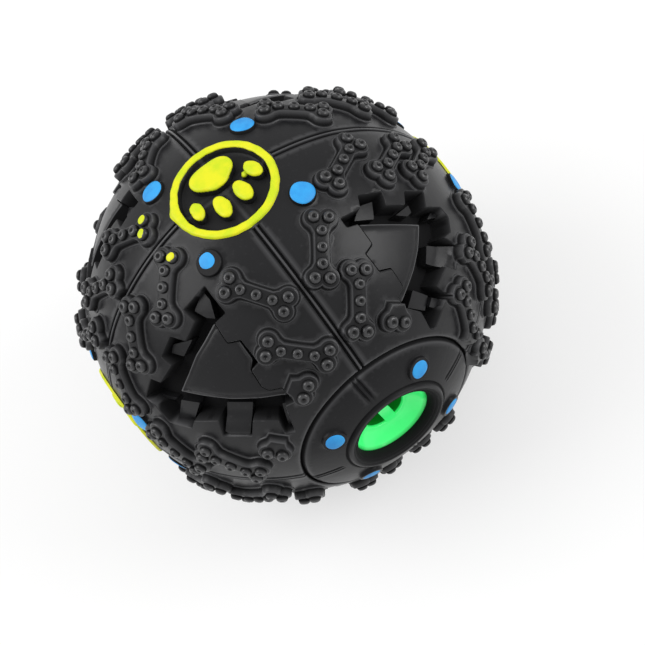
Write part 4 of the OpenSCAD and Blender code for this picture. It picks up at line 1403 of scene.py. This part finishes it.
# Paw prints: a painted ring and five domed pads
paw = {
    "padHalf": (6.2, 4.2),
    "padPlace": (0.2, -4.9),
    "pad": ((-1, -0.25), (-0.9, 0.25), (-0.6, 0.62), (-0.32, 0.92), (0, 1), (0.32, 0.92), (0.6, 0.62),
            (0.9, 0.25), (1, -0.25), (0.88, -0.7), (0.52, -0.97), (0, -1), (-0.52, -0.97), (-0.88, -0.7)),
    # each toe: its middle, half width, half length and lean in degrees
    "toes": ((-8.7, 0.75, 1.91, 3.0, 15), (-3.33, 4.4, 2.15, 3.4, 5), (3.1, 4.7, 2.05, 3.6, -3),
             (8.7, 1.3, 1.7, 2.9, -7)),
    "top": 55.03,
    "sides": (32, 16),       # of a toe and of the blob
    # unevenness of a pad's edge: its slow and its short waves
    "wander": 0.10,
    "ragged": 0.045,
    # on the top print only: a run of paint over the ring's outer side, and a blob beside the first toe
    "run": {"at": -11, "half": 8, "out": 0.75},
    "blob": {"oval": (-6.4, 0.1, 1.0, 0.78, 0), "drop": 0.70},
    # rows of a pad's side and dome: how far in from the outline, and the height over the top
    "dome": ((-0.12, -2.55), (-0.02, -0.62), (0.10, -0.18), (0.34, 0.03), (0.8, 0.15), (1.4, 0.22)),
}


def roundOutline(corners, count):
    # An even closed curve through the corners (Catmull-Rom)
    corners = np.asarray(corners, float)
    points = []
    for i in range(len(corners)):
        p0, p1, p2, p3 = (corners[(i + k) % len(corners)] for k in (-1, 0, 1, 2))
        for t in np.arange(count) / count:
            points.append(0.5 * ((2 * p1) + (p2 - p0) * t + (2 * p0 - 5 * p1 + 4 * p2 - p3) * t ** 2
                                 + (3 * p1 - p0 - 3 * p2 + p3) * t ** 3))
    return np.array(points)


def oval(x, y, wide, tall, lean, count):
    around = np.arange(count) * 2 * math.pi / count
    line = np.stack([wide * np.cos(around), tall * np.sin(around)], 1)
    return line @ flatTurn(math.radians(lean)) + [x, y]


def padMesh(outline, rng, drop=0.0):
    middle = outline.mean(0)
    size = len(outline)
    wander = rng.uniform(-paw["wander"], paw["wander"], 3)
    ragged = rng.uniform(-paw["ragged"], paw["ragged"], 5)
    away = outline - middle
    reach = np.linalg.norm(away, axis=1)
    turns = np.arctan2(away[:, 1], away[:, 0])
    slop = sum(wander[k] * np.cos((k + 2) * turns) for k in range(3))
    slop = slop + sum(ragged[k] * np.cos((k + 6) * turns + k) for k in range(5))
    top = paw["top"] - drop
    points, cover = [], []
    for inset, height in paw["dome"]:
        share = (reach + slop * (inset > 0) - inset) / reach
        row = middle + away * np.maximum(share, 0.05)[:, None]
        points.append(np.column_stack([row, np.full(size, top + height)]))
        cover.append(np.full(size, 1.0 if inset > 0.05 else (0.45 if inset > -0.05 else 0.0)))
    rows = [list(range(i * size, (i + 1) * size)) for i in range(len(points))]
    last = len(points) * size
    # The poles of its dome and foot
    points.append([[*middle, top + paw["dome"][-1][1] + 0.03], [*middle, top + paw["dome"][0][1]]])
    cover.append([1.0, 0.0])
    faces = rowFaces([[last + 1] * size] + rows + [[last] * size])
    return np.concatenate(points), faces, np.concatenate(cover)


def ringMesh(rng, run):
    inner, outer, low, top = (printRing[key] for key in ("inner", "outer", "low", "top"))
    profile = (
        (inner + 0.3, low), (inner - 0.02, low), (inner - 0.03, top - 0.22), (inner + 0.14, top - 0.05),
        (inner + 0.5, top), (outer - 0.5, top), (outer - 0.14, top - 0.05), (outer + 0.10, top - 0.26),
        (outer + 0.26, top - 0.74), (outer + 0.05, top - 0.88), (outer - 0.3, low), (inner + 0.3, low))
    phases = rng.uniform(0, 2 * math.pi, (2, 5))
    sizes = rng.uniform(0.3, 1.0, (2, 5))
    fine = rng.uniform(0, 2 * math.pi, 4)

    def wander(row, turns):
        # Rows 1 to 3 are the ring's inner side, 6 to 8 its outer one, and the others stay round
        if row in (0, 4, 5, 9, 10, 11):
            return 0 * turns
        edge = int(row > 3)
        total = sum(sizes[edge][k] * np.cos((k + 3) * turns + phases[edge][k]) / (k + 3) for k in range(5))
        ragged = sum(np.cos((11 + 6 * k) * turns + fine[k] + edge) for k in range(4))
        spill = 0 * turns
        if run and edge:
            aside = (np.degrees(turns) - paw["run"]["at"] + 180) % 360 - 180
            spill = paw["run"]["out"] * np.exp(-(aside / paw["run"]["half"]) ** 2) * (1.0 if row > 7 else 0.4)
        return printRing["wander"] * total + printRing["ragged"] * ragged + spill

    points, faces = lathe(profile, printRing["sides"], wander)
    return points, faces, np.ones(len(points))


def makePrint(side, turn, seed):
    rng = np.random.default_rng(seed)
    isTop = side == "top"
    main = roundOutline(np.array(paw["pad"]) * np.array(paw["padHalf"]) + paw["padPlace"], 4)
    parts = [ringMesh(rng, isTop), padMesh(main, rng)]
    toeSides, blobSides = paw["sides"]
    parts += [padMesh(oval(*toe, toeSides), rng) for toe in paw["toes"]]
    if isTop:
        parts.append(padMesh(oval(*paw["blob"]["oval"], blobSides), rng, paw["blob"]["drop"]))
    points, faces = joined([part[:2] for part in parts])
    fields = {"paint": np.concatenate([part[2] for part in parts])}
    piece = makeObject(side + "Paw", points @ turn.T, faces, materials["yellow"], fields, 55)
    handOver(piece, side + "_paw_print")


halfTurn = turnAbout((0, 0, 1), 180)
for side, turn, seed in (
        ("top", halfTurn, 21),
        ("bottom", turnAbout((1, 0, 0), 180), 22),
        ("right", turnAbout((0, 1, 0), 90) @ halfTurn, 23),
        ("left", turnAbout((0, 1, 0), -90) @ halfTurn, 24),
        ("rear", turnAbout((1, 0, 0), -90) @ halfTurn, 25)):
    makePrint(side, turn, seed)
print("paw prints made")


# The sounder inside keeps its own solids, with better finishes
sounder = {
    "tube": ("sound_tube", "tube_rear_cap", "tube_front_cap"),
    "carrier": ("weight_carrier", "carrier_cap", "reed_holder"),
    "foam": ("rear_bumper", "front_bumper"),
    "seal": ("carrier_seal",),
    "steel": ("steel_weight",),
    "brass": ("sound_reed",),
}
for finish, nodes in sounder.items():
    for node in nodes:
        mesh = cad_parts[node].data
        mesh.materials.clear()
        mesh.materials.append(materials[finish])
print("sounder finished")


# Floor and light
studio = {
    "floor": (0.95, 0.95, 0.95),
    "bounce": (0.50, 0.50, 0.50),   # the floor as the ball sees it
    "lift": 0.5,                    # share of plain white in the floor as the camera sees it
    "half": 3.0,                    # metres from the floor's middle to its side
    "world": 0.68,
    # name, place, size, power
    "lamps": (("keyLamp", (-0.62, 0.32, 0.72), 0.75, 5.4), ("sideLamp", (0.68, -0.38, 0.50), 0.5, 3.6)),
}


def makeFloor():
    half, level = studio["half"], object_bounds()[0][2]
    mesh = bpy.data.meshes.new("floor")
    corners = [(x * half, y * half, level) for x, y in ((-1, -1), (1, -1), (1, 1), (-1, 1))]
    mesh.from_pydata(corners, [], [(0, 1, 2, 3)])
    material, shader, place = startMaterial("paleFloor")
    # 1 where the camera or a mirror-like surface looks, 0 for the light that falls on the ball
    rays = place.tree.nodes.new("ShaderNodeLightPath").outputs
    camera, glossy, through = (
        Wire(place.tree, rays[name]) for name in ("Is Camera Ray", "Is Glossy Ray", "Is Transmission Ray"))
    seen = (camera + glossy + through).clamp()
    setInputs(shader, {"Base Color": seen.mixed(studio["bounce"], studio["floor"]), "Roughness": 0.7})
    white = place.node("ShaderNodeEmission", {}, {"Strength": 1.0})
    showBlend(seen * studio["lift"], Wire(place.tree, shader.outputs[0]), white)
    mesh.materials.append(material)
    addObject("floor", mesh)


def makeWorld():
    world = bpy.data.worlds.new("studioWorld")
    world.use_nodes = True
    tree = world.node_tree
    seen = Wire(tree, tree.nodes.new("ShaderNodeLightPath").outputs["Is Camera Ray"])
    soft, white = (seen.node("ShaderNodeBackground", {}, {"Color": (1, 1, 1), "Strength": strength})
                   for strength in (studio["world"], 1.0))
    showBlend(seen, soft, white, "World Output")
    bpy.context.scene.world = world
    for name, place, size, power in studio["lamps"]:
        data = bpy.data.lights.new(name, "AREA")
        data.size = size
        data.energy = power
        lamp = addObject(name, data)
        lamp.location = place
        lamp.rotation_euler = (-Vector(place)).to_track_quat("-Z", "Y").to_euler()


makeFloor()
makeWorld()
bpy.context.scene.view_settings.view_transform = "Standard"
print("studio lit")
